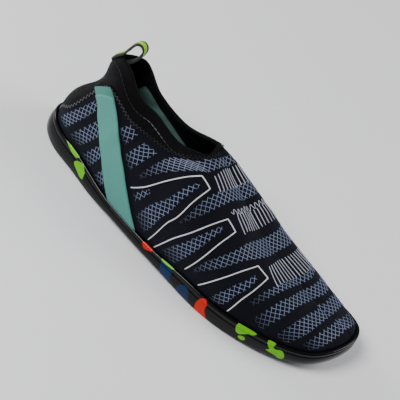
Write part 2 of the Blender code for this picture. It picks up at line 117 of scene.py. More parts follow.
def closed_curve(points, steps):
    """Centripetal Catmull-Rom curve through a closed ring of points."""
    curve, count = [], len(points)
    for i in range(count):
        p0, p1, p2, p3 = (points[(i + k) % count] for k in (-1, 0, 1, 2))
        d01, d12, d23 = (np.linalg.norm(b - a) ** 0.5 for a, b in ((p0, p1), (p1, p2), (p2, p3)))
        leave = (p2 - p1) + d12 * ((p1 - p0) / d01 - (p2 - p0) / (d01 + d12))
        arrive = (p2 - p1) + d12 * ((p3 - p2) / d23 - (p3 - p1) / (d12 + d23))
        for t in np.arange(steps) / steps:
            start = (2 * t ** 3 - 3 * t * t + 1) * p1 + (t ** 3 - 2 * t * t + t) * leave
            curve.append(start + (3 * t * t - 2 * t ** 3) * p2 + (t ** 3 - t * t) * arrive)
    return np.array(curve)


def half_outlines(steps=24):
    """Lateral and medial half of the outline: share of run, points, outward normals."""
    ring = closed_curve(np.array(OUTLINE) * (LENGTH, BALL_HALF), steps)
    ring -= (ring.max(axis=0) + ring.min(axis=0)) / 2
    toe = TOE_ROW * steps
    halves = []
    for path, turn in ((ring[:toe + 1], 1), (np.vstack([ring[:1], ring[:toe - 1:-1]]), -1)):
        along = np.gradient(path, axis=0)
        outward = unit(turn * np.column_stack([along[:, 1], -along[:, 0]]))
        outward[0], outward[-1] = (-1, 0), (1, 0)
        run = lengths(path, 0)
        halves.append((run / run[-1], path, outward))
    return halves


HALVES = half_outlines()


def edge(side, s):
    """Outline point and outward normal at a share of one half outline."""
    share, path, outward = HALVES[side]
    xy = np.stack([np.interp(s, share, path[:, k]) for k in (0, 1)], axis=-1)
    normal = np.stack([np.interp(s, share, outward[:, k]) for k in (0, 1)], axis=-1)
    return xy, unit(normal)


def rocker(x):
    """Lift of the sole's line by toe and heel spring."""
    share = x / LENGTH + 0.5
    toe = np.clip((share - SPRING_START) / (1 - SPRING_START), 0, 1)
    heel = np.clip((HEEL_ROUND - share) / HEEL_ROUND, 0, 1)
    return TOE_SPRING * toe ** 2 + HEEL_SPRING * heel ** 2


def arch(x, across):
    """Lift of the waist, across from the lateral to the medial edge."""
    share = x / LENGTH + 0.5
    lateral, medial = spread(ARCH, 1, share), spread(ARCH, 2, share)
    return ARCH_LIFT * (lateral * (1 - across) ** 2 + medial * across ** 2)


def foot_bed(x, across, height):
    return height + rocker(x) + ARCH_FOLLOW * arch(x, across)


def skin(side, s, turn, out=0.0):
    """Point on the last: s from heel to toe, turn from the feather edge 0 to the crest 1."""
    s, turn, out = np.broadcast_arrays(np.asarray(s, float), np.asarray(turn, float), out)
    if np.any(out):
        tiny = 1e-3
        ahead, behind = np.minimum(s + tiny, 1), np.maximum(s - tiny, 0)
        above, below = np.where(turn < 1, turn + tiny, turn), turn - tiny
        along = skin(side, ahead, turn) - skin(side, behind, turn)
        up = skin(side, s, above) - skin(side, s, below)
        hand = 1 if side == LATERAL else -1
        along[s <= 0] = (0, -hand, 0)
        along[s >= 1] = (0, hand, 0)
        return skin(side, s, turn) + unit(np.cross(along, up) * hand) * out[..., None]
    xy, outward = edge(side, s)
    foot = xy - outward * FEATHER_INSET
    floor = foot_bed(xy[..., 0], side, FOOT_HEIGHT)
    crest_x = (spread(CREST, 1, s) - 0.5) * LENGTH
    crest_y = spread(CREST, 2, s) * BALL_HALF
    top = spread(CREST, 3, s) * LAST_TALL
    full = spread(CREST, 4 + side, s)
    angle = np.clip(turn, 0, 1) * math.pi / 2
    radius = (np.cos(angle) ** full + np.sin(angle) ** full) ** (-1 / full)
    reach = 1 - np.cos(angle) * radius
    drop = np.minimum(turn, 0) * (FOOT_HEIGHT - CUP_FLOOR - GAP)
    z = floor + (top - floor) * np.sin(angle) * radius + drop
    bulge = np.sin(math.pi * np.clip((z - floor) / (BULGE_TALL * LAST_TALL), 0, 1))
    off_waist = (z / LAST_TALL - WAIST_HEIGHT) / WAIST_TALL
    hollow = np.exp(-(s / WAIST_REACH) ** 2 - off_waist ** 2)
    push = (BULGE * bulge - WAIST * hollow) * (1 - reach ** CREST_FADE)
    crest = np.stack([crest_x, crest_y], axis=-1)
    xy = foot + (crest - foot) * reach[..., None] + outward * push[..., None]
    return np.concatenate([xy, z[..., None]], axis=-1)


def turn_at(side, s, height_share):
    """Place on a column at a share of the crest's height above the feather edge."""
    full = spread(CREST, 4 + side, s)
    level = np.clip(height_share, 0, 1)
    return np.arctan2(level, (1 - level ** full) ** (1 / full)) * 2 / math.pi


def lip(side, s):
    """Place on a column level with the top of the outsole's side."""
    x = edge(side, s)[0][..., 0]
    floor = foot_bed(x, side, FOOT_HEIGHT)
    level = rocker(x) + WALL_TALL * spread(WALL_HEIGHT, 1, s)
    return turn_at(side, s, (level - floor) / (LAST_TALL * spread(CREST, 3, s) - floor))


def mesh_piece(name, points, faces, finish, marks=None, uv=None, weld=False):
    """Object from points and faces, its normals outward, with marks on its points."""
    mesh = bpy.data.meshes.new(name)
    mesh.from_pydata(points, [], faces)
    if uv is not None:
        corners = np.zeros(len(mesh.loops), dtype=np.int32)
        mesh.loops.foreach_get("vertex_index", corners)
        layer = mesh.uv_layers.new(name="surface")
        layer.data.foreach_set("uv", uv.reshape(-1, 2)[corners].ravel())
    for key, values in (marks or {}).items():
        mark = mesh.attributes.new(key, "FLOAT", "POINT")
        mark.data.foreach_set("value", np.asarray(values, float).ravel())
    build = bmesh.new()
    build.from_mesh(mesh)
    if weld:
        bmesh.ops.remove_doubles(build, verts=build.verts, dist=2e-6)
        bmesh.ops.dissolve_degenerate(build, edges=build.edges, dist=1e-6)
    bmesh.ops.recalc_face_normals(build, faces=build.faces)
    build.to_mesh(mesh)
    build.free()
    mesh.materials.append(finish)
    piece = bpy.data.objects.new(name, mesh)
    bpy.context.scene.collection.objects.link(piece)
    return piece


def grid_piece(name, grid, finish, closed=False, uv=None, marks=None, weld=False):
    """Smooth mesh through rows of points; closed joins the ends of each row."""
    rows, count = grid.shape[:2]
    index = np.arange(rows * count).reshape(rows, count)
    beside = np.roll(index, -1, axis=1)
    if not closed:
        index, beside = index[:, :-1], beside[:, :-1]
    quads = np.stack([index[:-1], beside[:-1], beside[1:], index[1:]], -1).reshape(-1, 4)
    piece = mesh_piece(name, grid.reshape(-1, 3).tolist(), quads.tolist(), finish, marks, uv, weld)
    piece.data.shade_smooth()
    return piece


def fit(piece, slot, *nodes):
    """The piece rides on the shoe and stands for its nodes; its slot is not used."""
    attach(piece, "root")
    if nodes:
        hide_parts(*nodes)
    return piece


def feed(tree, socket, value):
    """Link another node's output to a socket, or set the socket to a plain value."""
    if hasattr(value, "links"):
        tree.links.new(value, socket)
    else:
        socket.default_value = value


def maths(tree, operation, *values):
    made = tree.nodes.new("ShaderNodeMath")
    made.operation = operation
    for socket, value in zip(made.inputs, values):
        feed(tree, socket, value)
    return made.outputs[0]


class Finish:
    """A material with its Principled BSDF and short calls for the nodes round it."""

    def __init__(self, name, roughness=0.5, **constants):
        self.material = bpy.data.materials.new(name)
        self.material.use_nodes = True
        self.tree = self.material.node_tree
        self.shader = self.tree.nodes["Principled BSDF"]
        self.shader.inputs["Roughness"].default_value = roughness
        for socket, value in constants.items():
            self.shader.inputs[socket.replace("_", " ")].default_value = value

    def node(self, kind, settings=None, **inputs):
        made = self.tree.nodes.new("ShaderNode" + kind)
        for key, value in (settings or {}).items():
            setattr(made, key, value)
        for key, value in inputs.items():
            feed(self.tree, made.inputs[key.replace("_", " ")], value)
        return made

    def math(self, operation, *values):
        return maths(self.tree, operation, *values)

    def ramp(self, value, top=1.0):
        """The value, held between 0 and a top."""
        return self.math("MINIMUM", self.math("MAXIMUM", value, 0.0), top)

    def mix(self, share, first, second):
        made = self.tree.nodes.new("ShaderNodeMix")
        made.data_type = "RGBA"
        for socket, value in ((0, share), (6, first), (7, second)):
            feed(self.tree, made.inputs[socket], value)
        return made.outputs[2]

    def group(self, tree, **inputs):
        made = self.tree.nodes.new("ShaderNodeGroup")
        made.node_tree = tree
        for key, value in inputs.items():
            feed(self.tree, made.inputs[key.replace("_", " ")], value)
        return made.outputs

    def place(self, name="surface"):
        """The surface's own coordinates in metres, or the object's."""
        if name == "object":
            return self.node("TexCoord").outputs["Object"]
        return self.node("UVMap", {"uv_map": name}).outputs["UV"]

    def mark(self, name):
        return self.node("Attribute", {"attribute_name": name}).outputs["Fac"]

    def bump(self, height, distance, strength=1.0):
        made = self.node("Bump", Strength=strength, Distance=distance, Height=height)
        self.tree.links.new(made.outputs["Normal"], self.shader.inputs["Normal"])

    def colour(self, value):
        feed(self.tree, self.shader.inputs["Base Color"], value)

    def roughness(self, value):
        feed(self.tree, self.shader.inputs["Roughness"], value)


def effect(name, inputs, outputs):
    """Empty shader node group with its sockets and its input and output nodes."""
    tree = bpy.data.node_groups.new(name, "ShaderNodeTree")
    for label, kind, value in inputs:
        made = tree.interface.new_socket(label, in_out="INPUT", socket_type=kind)
        if value is not None:
            made.default_value = value
    for label in outputs:
        tree.interface.new_socket(label, in_out="OUTPUT", socket_type="NodeSocketFloat")
    return tree, tree.nodes.new("NodeGroupInput"), tree.nodes.new("NodeGroupOutput")


def uneven_effect():
    """Broad and fine unevenness of a handled surface, both about 0.5 on average."""
    tree, given, made = effect(
        "uneven",
        (("Vector", "NodeSocketVector", None), ("Size", "NodeSocketFloat", 0.02)),
        ("Broad", "Fine"))
    across = maths(tree, "DIVIDE", 1.0, given.outputs["Size"])
    for label, times in (("Broad", 1.0), ("Fine", 14.0)):
        noise = tree.nodes.new("ShaderNodeTexNoise")
        noise.inputs["Detail"].default_value = 3.0
        tree.links.new(given.outputs["Vector"], noise.inputs["Vector"])
        feed(tree, noise.inputs["Scale"], maths(tree, "MULTIPLY", across, times))
        tree.links.new(noise.outputs["Fac"], made.inputs[label])
    return tree


UNEVEN = uneven_effect()

SIDE_TALL = 0.013       # usual height of the side, for sizes up it
POURED_REACH = 0.003    # how far from its edge a poured colour is still measured
# The side's coloured rubber: share of the half outline and of the side's height
POURED = {
    "lime": (
        ((0.112, 1.06), (0.128, 1.10), (0.150, 1.06), (0.168, 1.02), (0.166, 0.88),
         (0.158, 0.80), (0.147, 0.82), (0.128, 0.95)),
        ((0.166, 0.60), (0.173, 0.84), (0.182, 0.95), (0.192, 0.96), (0.200, 0.80),
         (0.206, 0.55), (0.207, 0.38), (0.200, 0.33), (0.185, 0.42)),
        ((0.466, 0.98), (0.472, 1.10), (0.500, 1.10), (0.503, 0.97), (0.490, 0.93), (0.475, 0.92)),
        ((0.688, 0.84), (0.690, 1.06), (0.704, 1.10), (0.738, 1.08), (0.730, 0.86),
         (0.715, 0.68), (0.703, 0.52), (0.694, 0.58)),
        ((0.704, 0.40), (0.716, 0.52), (0.722, 0.40), (0.716, 0.25), (0.709, 0.28)),
        ((0.766, 1.08), (0.784, 1.08), (0.783, 0.80), (0.787, 0.68), (0.806, 0.70),
         (0.815, 0.45), (0.816, 0.16), (0.808, 0.08), (0.800, 0.22), (0.785, 0.34),
         (0.772, 0.44), (0.778, 0.56), (0.768, 0.78)),
    ),
    "blue": (
        ((0.468, 0.88), (0.478, 0.88), (0.492, 0.90), (0.500, 0.84), (0.507, 0.50),
         (0.512, 0.05), (0.497, -0.10), (0.484, 0.05), (0.476, 0.45)),
        ((0.531, 0.30), (0.536, 0.60), (0.544, 0.73), (0.555, 0.70), (0.566, 0.38),
         (0.574, 0.05), (0.560, -0.05), (0.541, 0.04)),
    ),
    "orange": (
        ((0.409, 0.80), (0.412, 1.02), (0.424, 1.10), (0.438, 1.04), (0.438, 0.80),
         (0.430, 0.68), (0.419, 0.62)),
        ((0.590, 0.20), (0.587, 0.60), (0.592, 0.93), (0.602, 0.98), (0.609, 0.80),
         (0.612, 0.50), (0.622, 0.20), (0.628, -0.05), (0.600, -0.05)),
    ),
}


def inside_by(s, height, outlines):
    """Millimetres inside the nearest of some closed outlines on the side."""
    size = np.array([HALF_RUN, SIDE_TALL])
    at = np.stack([s, height], -1) * size
    best = np.full(s.shape, -1.0)
    for points in outlines:
        ring = closed_curve(np.array(points) * size, 6)
        nearest = np.full(s.shape, 1.0)
        within = np.zeros(s.shape, bool)
        for a, b in zip(ring, np.roll(ring, -1, axis=0)):
            line = b - a
            t = np.clip(((at - a) @ line) / (line @ line), 0, 1)
            nearest = np.minimum(nearest, np.linalg.norm(at - a - t[..., None] * line, axis=-1))
            crosses = (a[1] > at[..., 1]) != (b[1] > at[..., 1])
            if a[1] != b[1]:
                x = a[0] + (at[..., 1] - a[1]) / (b[1] - a[1]) * line[0]
                within ^= crosses & (at[..., 0] < x)
        best = np.maximum(best, np.where(within, nearest, -nearest))
    return np.clip(best, -POURED_REACH, POURED_REACH) * 1000


GROOVE_WIDE, GROOVE_DEEP, GROOVE_PITCH = 0.0018, 0.0012, 0.0115
GROOVE_STEEP = 1.6      # more than 1 keeps a flat bottom between the sloping sides
GROOVE_RUNS = ((0.58, 8), (0.09, 4))    # share of the length where a run starts, grooves in it


def tread_lift(x):
    """Height of the flex grooves cut across the underside."""
    lift = np.zeros_like(x)
    for start, count in GROOVE_RUNS:
        for i in range(count):
            off = np.abs(x - (start - 0.5) * LENGTH - i * GROOVE_PITCH)
            cut = np.clip(GROOVE_STEEP - off / GROOVE_WIDE * GROOVE_STEEP, 0, 1)
            lift = np.maximum(lift, GROOVE_DEEP * cut)
    return lift


def dressed_sole(columns=420, side_rows=26, under_rows=40):
    """Grid round the cup, outside and inside, and its marks for the poured colours."""
    stations = (1 - np.cos(np.linspace(0, math.pi, columns))) / 2
    stations = stations * 0.25 + np.linspace(0, 1, columns) * 0.75
    s, h = np.meshgrid(stations, np.linspace(0, 1, side_rows), indexing="ij")
    share = np.linspace(0, 1, under_rows + 2)[1:-1]

    def across(first, last):
        return first * (1 - share)[:, None] + last * share[:, None]

    sides, insides, marks = [], [], {key: [] for key in POURED}
    for side in (LATERAL, MEDIAL):
        xy, outward = edge(side, s)
        base = rocker(xy[..., 0]) + arch(xy[..., 0], side)
        top = rocker(xy[..., 0]) + WALL_TALL * spread(WALL_HEIGHT, 1, s)
        inset = LIP_INSET * spread(SIDEWALL, 1, h)
        level = (base + (top - base) * h)[..., None]
        sides.append(np.concatenate([xy - outward * inset[..., None], level], -1))
        for key in POURED:
            marks[key].append(inside_by(s, h, POURED[key]))
        rim = lip(side, stations)
        turns = [rim, rim / 2, np.zeros(columns), np.full(columns, -1.0)]
        insides.append(np.stack([skin(side, stations, turn, GAP) for turn in turns], 1))
    low = across(sides[LATERAL][:, :1], sides[MEDIAL][:, :1])
    low[..., 2] = rocker(low[..., 0]) + arch(low[..., 0], share) + tread_lift(low[..., 0])
    floor = across(insides[LATERAL][:, -1:], insides[MEDIAL][:, -1:])
    floor[..., 2] = foot_bed(floor[..., 0], share, CUP_FLOOR)
    grid = np.concatenate([sides[LATERAL][:, ::-1], low, sides[MEDIAL], insides[MEDIAL],
                           floor[:, ::-1], insides[LATERAL][:, ::-1]], 1)
    bare = np.full((columns, 1), -POURED_REACH * 1000)
    rest = grid.shape[1] - 2 * side_rows - under_rows
    laid = {key: np.concatenate([lateral[:, ::-1], np.repeat(bare, under_rows, 1), medial,
                                 np.repeat(bare, rest, 1)], 1)
            for key, (lateral, medial) in marks.items()}
    return grid, laid


def rubber_finish():
    rubber = Finish("black_rubber", 0.3, Specular_IOR_Level=0.17, Coat_Weight=0.09,
                    Coat_Roughness=0.08)
    uneven = rubber.group(UNEVEN, Vector=rubber.place("object"), Size=0.012)
    colour = rubber.mix(uneven["Broad"], (0.0015, 0.0015, 0.0018, 1), (0.0035, 0.0035, 0.0040, 1))
    for key, tint, shade in (
            ("blue", (0.0, 0.020, 0.080, 1), (0.0, 0.010, 0.044, 1)),
            ("orange", (0.66, 0.012, 0.0, 1), (0.44, 0.006, 0.0, 1)),
            ("lime", (0.17, 0.56, 0.0, 1), (0.08, 0.36, 0.0, 1))):
        flow = rubber.math("SUBTRACT", uneven["Fine"], 0.5)
        level = rubber.math("ADD", rubber.mark(key), rubber.math("MULTIPLY", flow, 0.5))
        share = rubber.ramp(rubber.math("MULTIPLY_ADD", level, 5.0, 0.5))
        poured = rubber.mix(uneven["Broad"], shade, tint)
        colour = rubber.mix(share, colour, poured)
    rubber.colour(colour)
    rubber.roughness(rubber.math("MULTIPLY_ADD", uneven["Fine"], 0.14, 0.14))
    grain = rubber.node("TexNoise", Vector=rubber.place("object"), Scale=1600.0, Detail=2.0)
    rubber.bump(grain.outputs["Fac"], 0.00006, 0.5)
    return rubber.material


sole_grid, sole_marks = dressed_sole()
sole = grid_piece("cup_sole", sole_grid, rubber_finish(), closed=True, marks=sole_marks)
fit(sole, "rubber", "outsole")

# INSOLE. A sheet of soft foam faced with mint jersey, cut to the cup and laid in loose. It
# covers the cup's floor out to the wall of the upper.
INSOLE_THICK = 0.0033
UPPER_WALL = 0.0020


def weave_effect():
    """Height of a plain weave or rib, by the two thread pitches in metres."""
    tree, given, made = effect(
        "weave",
        (("Vector", "NodeSocketVector", None), ("Warp", "NodeSocketFloat", 0.0008),
         ("Weft", "NodeSocketFloat", 0.0008), ("Slant", "NodeSocketFloat", 0.0)),
        ("Height",))

    def step(operation, *values):
        return maths(tree, operation, *values)

    apart = tree.nodes.new("ShaderNodeSeparateXYZ")
    tree.links.new(given.outputs["Vector"], apart.inputs[0])
    u = step("DIVIDE", apart.outputs[0], given.outputs["Warp"])
    v = step("DIVIDE", apart.outputs[1], given.outputs["Weft"])
    off = step("ABSOLUTE", step("SUBTRACT", step("FRACT", u), 0.5))
    v = step("ADD", v, step("MULTIPLY", off, given.outputs["Slant"]))
    rib = step("ABSOLUTE", step("SINE", step("MULTIPLY", u, math.pi)))
    bar = step("ABSOLUTE", step("SINE", step("MULTIPLY", v, math.pi)))
    cell = step("ADD", step("FLOOR", u), step("FLOOR", v))
    odd = step("FLOORED_MODULO", cell, 2.0)
    height = step("ADD", step("MULTIPLY", rib, odd),
                  step("MULTIPLY", bar, step("SUBTRACT", 1.0, odd)))
    tree.links.new(height, made.inputs["Height"])
    return tree


WEAVE = weave_effect()


def cloth(name, roughness, threads_apart, dark, shade, tint, patch=0.03, **constants):
    """Finish of an unevenly coloured cloth, with its weave's height and its unevenness."""
    made = Finish(name, roughness, **constants)
    warp, weft, slant = threads_apart
    weave = made.group(WEAVE, Vector=made.place(), Warp=warp, Weft=weft, Slant=slant)
    uneven = made.group(UNEVEN, Vector=made.place("object"), Size=patch)
    made.colour(made.mix(weave["Height"], dark, made.mix(uneven["Broad"], shade, tint)))
    return made, weave["Height"], uneven


def insole_grid(columns=90, across=24):
    share = np.linspace(-1, 1, across)
    s = np.linspace(0, 1, columns)
    ends = []
    for side in (LATERAL, MEDIAL):
        xy, outward = edge(side, s)
        ends.append(xy - outward * (FEATHER_INSET + UPPER_WALL + 2 * GAP))
    rows = []
    for top in (True, False):
        order = share if top else share[::-1]
        drop = INSOLE_THICK / 2 * (1 - np.sqrt(1 - np.abs(order) ** 16))
        middle = (order[:, None] + 1) / 2
        xy = ends[LATERAL][:, None] * (1 - middle) + ends[MEDIAL][:, None] * middle
        level = CUP_FLOOR + GAP + (INSOLE_THICK - drop if top else drop)
        z = foot_bed(xy[..., 0], middle[:, 0], 0) + level
        rows.append(np.concatenate([xy, z[..., None]], -1))
    grid = np.concatenate(rows, 1)
    return grid, grid[..., :2]


def insole_finish():
    jersey, height, _ = cloth(
        "insole_jersey", 0.9, (0.0009, 0.0007, 0.8), (0.03, 0.09, 0.075, 1),
        (0.09, 0.24, 0.20, 1), (0.14, 0.33, 0.28, 1), Sheen_Weight=0.25, Sheen_Roughness=0.5)
    jersey.bump(height, 0.0002)
    return jersey.material


pad_grid, pad_uv = insole_grid()
pad = grid_piece("loose_insole", pad_grid, insole_finish(), closed=True, uv=pad_uv, weld=True)
fit(pad, "foam", "insole")

# KNIT UPPER. One piece of stretch knit drawn over the last, printed later, and glued into
# the cup. Where the foot bends it keeps a few soft creases even when the shoe is empty.
SEAM = (
    (0.020, -1.30), (0.024, -0.40), (0.028, 0.06), (0.040, 0.115), (0.056, 0.150),
    (0.068, 0.180), (0.075, 0.230), (0.078, 0.290), (0.082, 0.350), (0.095, 0.415),
    (0.120, 0.465), (0.160, 0.492), (0.195, 0.520), (0.245, 0.580), (0.302, 0.640),
    (0.361, 0.685), (0.430, 0.765), (0.470, 0.865), (0.495, 1.000),
)
SEAM_END = 0.495
# Creases: share along, share up, lean, half width along, reach up, depth in metres
CREASES = (
    (0.600, 0.62, 0.10, 0.010, 0.36, 0.00055),
    (0.636, 0.74, 0.07, 0.009, 0.34, -0.00040),
    (0.672, 0.80, 0.05, 0.010, 0.32, 0.00050),
    (0.545, 0.36, 0.16, 0.012, 0.22, 0.00040),
    (0.745, 0.70, 0.04, 0.016, 0.30, 0.00030),
    (0.455, 0.52, 0.20, 0.014, 0.18, 0.00045),
    (0.405, 0.40, 0.20, 0.012, 0.20, -0.00035),
    (0.250, 0.46, 0.30, 0.014, 0.20, 0.00060),
    (0.205, 0.38, 0.30, 0.012, 0.22, -0.00035),
    (0.860, 0.60, 0.02, 0.020, 0.35, 0.00025),
)
CREASE_SHIFT = 0.012    # how much further ahead the medial side's creases lie
RIPPLE = 0.00025        # depth of the soft unevenness between them
LOW_FADE, HIGH_FADE = 0.12, 0.10    # shares up in which both fade out, at lip and crest


def crease_lift(side, s, turn):
    """How far the fabric stands off the last, in soft troughs and ridges."""
    s, turn = np.broadcast_arrays(np.asarray(s, float), np.asarray(turn, float))
    shift = CREASE_SHIFT if side == MEDIAL else 0.0
    lift = np.zeros(s.shape)
    for at, up, lean, wide, reach, depth in CREASES:
        off = (s - at - shift - lean * (turn - up) * 0.5) / wide
        lift -= depth * np.exp(-off ** 2 - ((turn - up) / reach) ** 2)
    lift += RIPPLE * np.sin(21 * s + 5 * turn + side) * np.sin(9 * turn - 4 * s)
    low = np.clip((turn - lip(side, s)) / LOW_FADE, 0, 1)
    return lift * (low * np.clip((1.0 - turn) / HIGH_FADE, 0, 1))


def fabric(side, s, turn, out=0.0):
    """Outside of the fabric, further out by some metres."""
    return skin(side, s, turn, crease_lift(side, s, turn) + out)


def seam_turn(s):
    return np.where(s < SEAM_END, spread(SEAM, 1, s), 1.0)


def both_sides(s, rows, make):
    """Columns of the lateral side from the heel to the toe, then back on the medial side."""
    columns, places = [], []
    for side in (LATERAL, MEDIAL):
        grid = make(side, s[:, None], rows)
        up = lengths(grid, 1)
        hand = 1 if side == LATERAL else -1
        run = np.broadcast_to((s[:, None] - 1) * HALF_RUN * hand, up.shape)
        order = slice(None) if side == LATERAL else slice(None, None, -1)
        columns.append(grid[order])
        places.append(np.stack([run, up], -1)[order])
    return np.concatenate(columns), np.concatenate(places)


def knit_finish():
    knitted, height, _ = cloth(
        "stretch_knit", 0.85, (0.0011, 0.0008, 1.2), (0.0010, 0.0011, 0.0020, 1),
        (0.0022, 0.0026, 0.0055, 1), (0.0050, 0.0058, 0.0110, 1), Sheen_Weight=0.06,
        Sheen_Roughness=0.45, Sheen_Tint=(0.50, 0.58, 0.85, 1), Specular_IOR_Level=0.12)
    knitted.bump(height, 0.00016)
    return knitted.material


# Where the knit starts behind the seam, and how far from there its columns stand closer
KNIT_START, KNIT_CLOSER, KNIT_WALL = 0.0282, 0.13, 0.0012
knit_stations = np.concatenate([np.linspace(KNIT_START, KNIT_CLOSER, 60),
                                np.linspace(KNIT_CLOSER, 1, 180)[1:]])
knit_rows = np.linspace(0, 1, 76)
knit_grid, knit_uv = both_sides(
    knit_stations, knit_rows, lambda side, s, v: fabric(side, s, v * seam_turn(s)))
knit = grid_piece("knit_upper", knit_grid, knit_finish(), uv=knit_uv, weld=True)
inside = knit.modifiers.new("wall", "SOLIDIFY")
inside.thickness, inside.offset = KNIT_WALL, -1
fit(knit, "knit", "upper")

# PRINT. Lavender silicone lines pressed on to the knit in a diamond net, long pale stripes
# over the instep and a white line round each petal. It is drawn with a turn that runs on from
# 1 at the crest to 2 at the medial edge.
CREST_FRONT = 0.985     # furthest share along at which a band is taken over the crest
# The medial half repeats the lateral one lower down: a turn there, and the one it takes here
MEDIAL_WAY = ((0.0, 0.50, 0.79, 0.87, 0.945, 1.0), (0.0, 0.30, 0.555, 0.70, 0.84, 0.94))


def over(s, turn, out=0.0):
    """Point on the fabric, with turn from 0 at the lateral edge over 1 to 2 at the medial."""
    medial = (turn > 1)[..., None]
    return np.where(medial, fabric(MEDIAL, s, 2 - turn, out), fabric(LATERAL, s, turn, out))


def other_side(run):
    """The same run on the medial side, where the pattern lies lower."""
    return np.column_stack([run[:, 0], 2 - np.interp(run[:, 1], *MEDIAL_WAY)])


def crest_crossing(lateral, medial):
    """Where the straight way between a point on each side crosses the crest, from above."""
    ends = over(*np.array([lateral, medial]).T)[:, :2]
    shares = np.linspace(0.3, CREST_FRONT, 1400)
    off = skin(LATERAL, shares, 1.0)[:, :2] - ends[0]
    way = ends[1] - ends[0]
    aside = way[0] * off[:, 1] - way[1] * off[:, 0]
    flips = np.flatnonzero(np.diff(np.sign(aside)))
    return shares[flips[0]] if len(flips) else CREST_FRONT


def edge_path(rows):
    """Smooth path along an edge; one that ends on the crest is carried over it."""
    rows = np.array(rows, float)
    beyond = rows[:, 1] > 1
    if beyond.any():
        lateral, medial = rows[~beyond], rows[beyond]
    elif rows[-1, 1] == 1.0:
        lateral, medial = rows[:-1], other_side(rows[:-1])[::-1]
        lateral = np.vstack([lateral, [crest_crossing(lateral[-1], medial[0]), 1.0]])
    else:
        return smooth_path(rows)
    if lateral[-1, 1] == 1.0:
        medial = np.vstack([lateral[-1], medial])
    return np.concatenate([smooth_path(lateral), smooth_path(medial)])


def smooth_path(points, count=48):
    """Points evenly along a smooth curve through a few given ones."""
    points = np.array(points, float)
    if len(points) == 2:
        return points[0] + (points[1] - points[0]) * np.linspace(0, 1, count)[:, None]
    run = lengths(points, 0)
    table = np.column_stack([run, points])
    at = np.linspace(0, run[-1], count)
    return np.column_stack([spread(table, 1, at), spread(table, 2, at)])


def tubes(name, rings, fades, finish):
    """Closed tubes with flat ends, each through its rings of points, fading along the way."""
    points, faces, marks = [], [], []
    for rows, fade in zip(rings, fades):
        base, sides = len(points), rows.shape[1]
        points.extend(rows.reshape(-1, 3).tolist())
        marks.extend(np.repeat(fade, sides))
        for i in range(len(rows) - 1):
            for k in range(sides):
                p, q = base + sides * i + k, base + sides * i + (k + 1) % sides
                faces.append((p, q, q + sides, p + sides))
        last = base + sides * (len(rows) - 1)
        faces.append(tuple(range(base + sides - 1, base - 1, -1)))
        faces.append(tuple(range(last, last + sides)))
    return mesh_piece(name, points, faces, finish, {"fade": marks})


TINY = 1e-12
PRINT_SUNK = 0.0002                 # how deep the foot of a printed line stands in the knit
LINE_END, LINE_TOP = 0.7, 0.75      # width at a line's ends and along its top


def strips(name, runs, finish, wide, high, fades=None, lifts=None):
    """Low closed strips along runs of (share along, share up)."""
    fades = fades or [np.ones(len(run)) for run in runs]
    lifts = lifts or [0.0] * len(runs)
    every = np.concatenate(runs)
    lift = np.concatenate([np.full(len(run), value) for run, value in zip(runs, lifts)])
    low = over(every[:, 0], every[:, 1], -PRINT_SUNK)
    top = over(every[:, 0], every[:, 1], high + lift)
    rings, start = [], 0
    for run in runs:
        a, b = low[start:start + len(run)], top[start:start + len(run)]
        start += len(run)
        half = np.full(len(run), wide / 2)
        half[[0, -1]] *= LINE_END
        half = half[:, None] * unit(np.cross(b - a, np.gradient(b, axis=0)), TINY)
        rings.append(np.stack([a - half, b - LINE_TOP * half, b + LINE_TOP * half, a + half], 1))
    return tubes(name, rings, fades, finish)


NET_CELL, NET_RISE, NET_WIDE, NET_HIGH = 0.0042, 1.05, 0.00048, 0.00022
NET_STEPS, NET_PIECE = 61, 0.0016   # places tried along a line, length of its pieces
NET_FAINT, NET_OVER = 0.12, 0.00004     # least print where a band starts, lift of one family
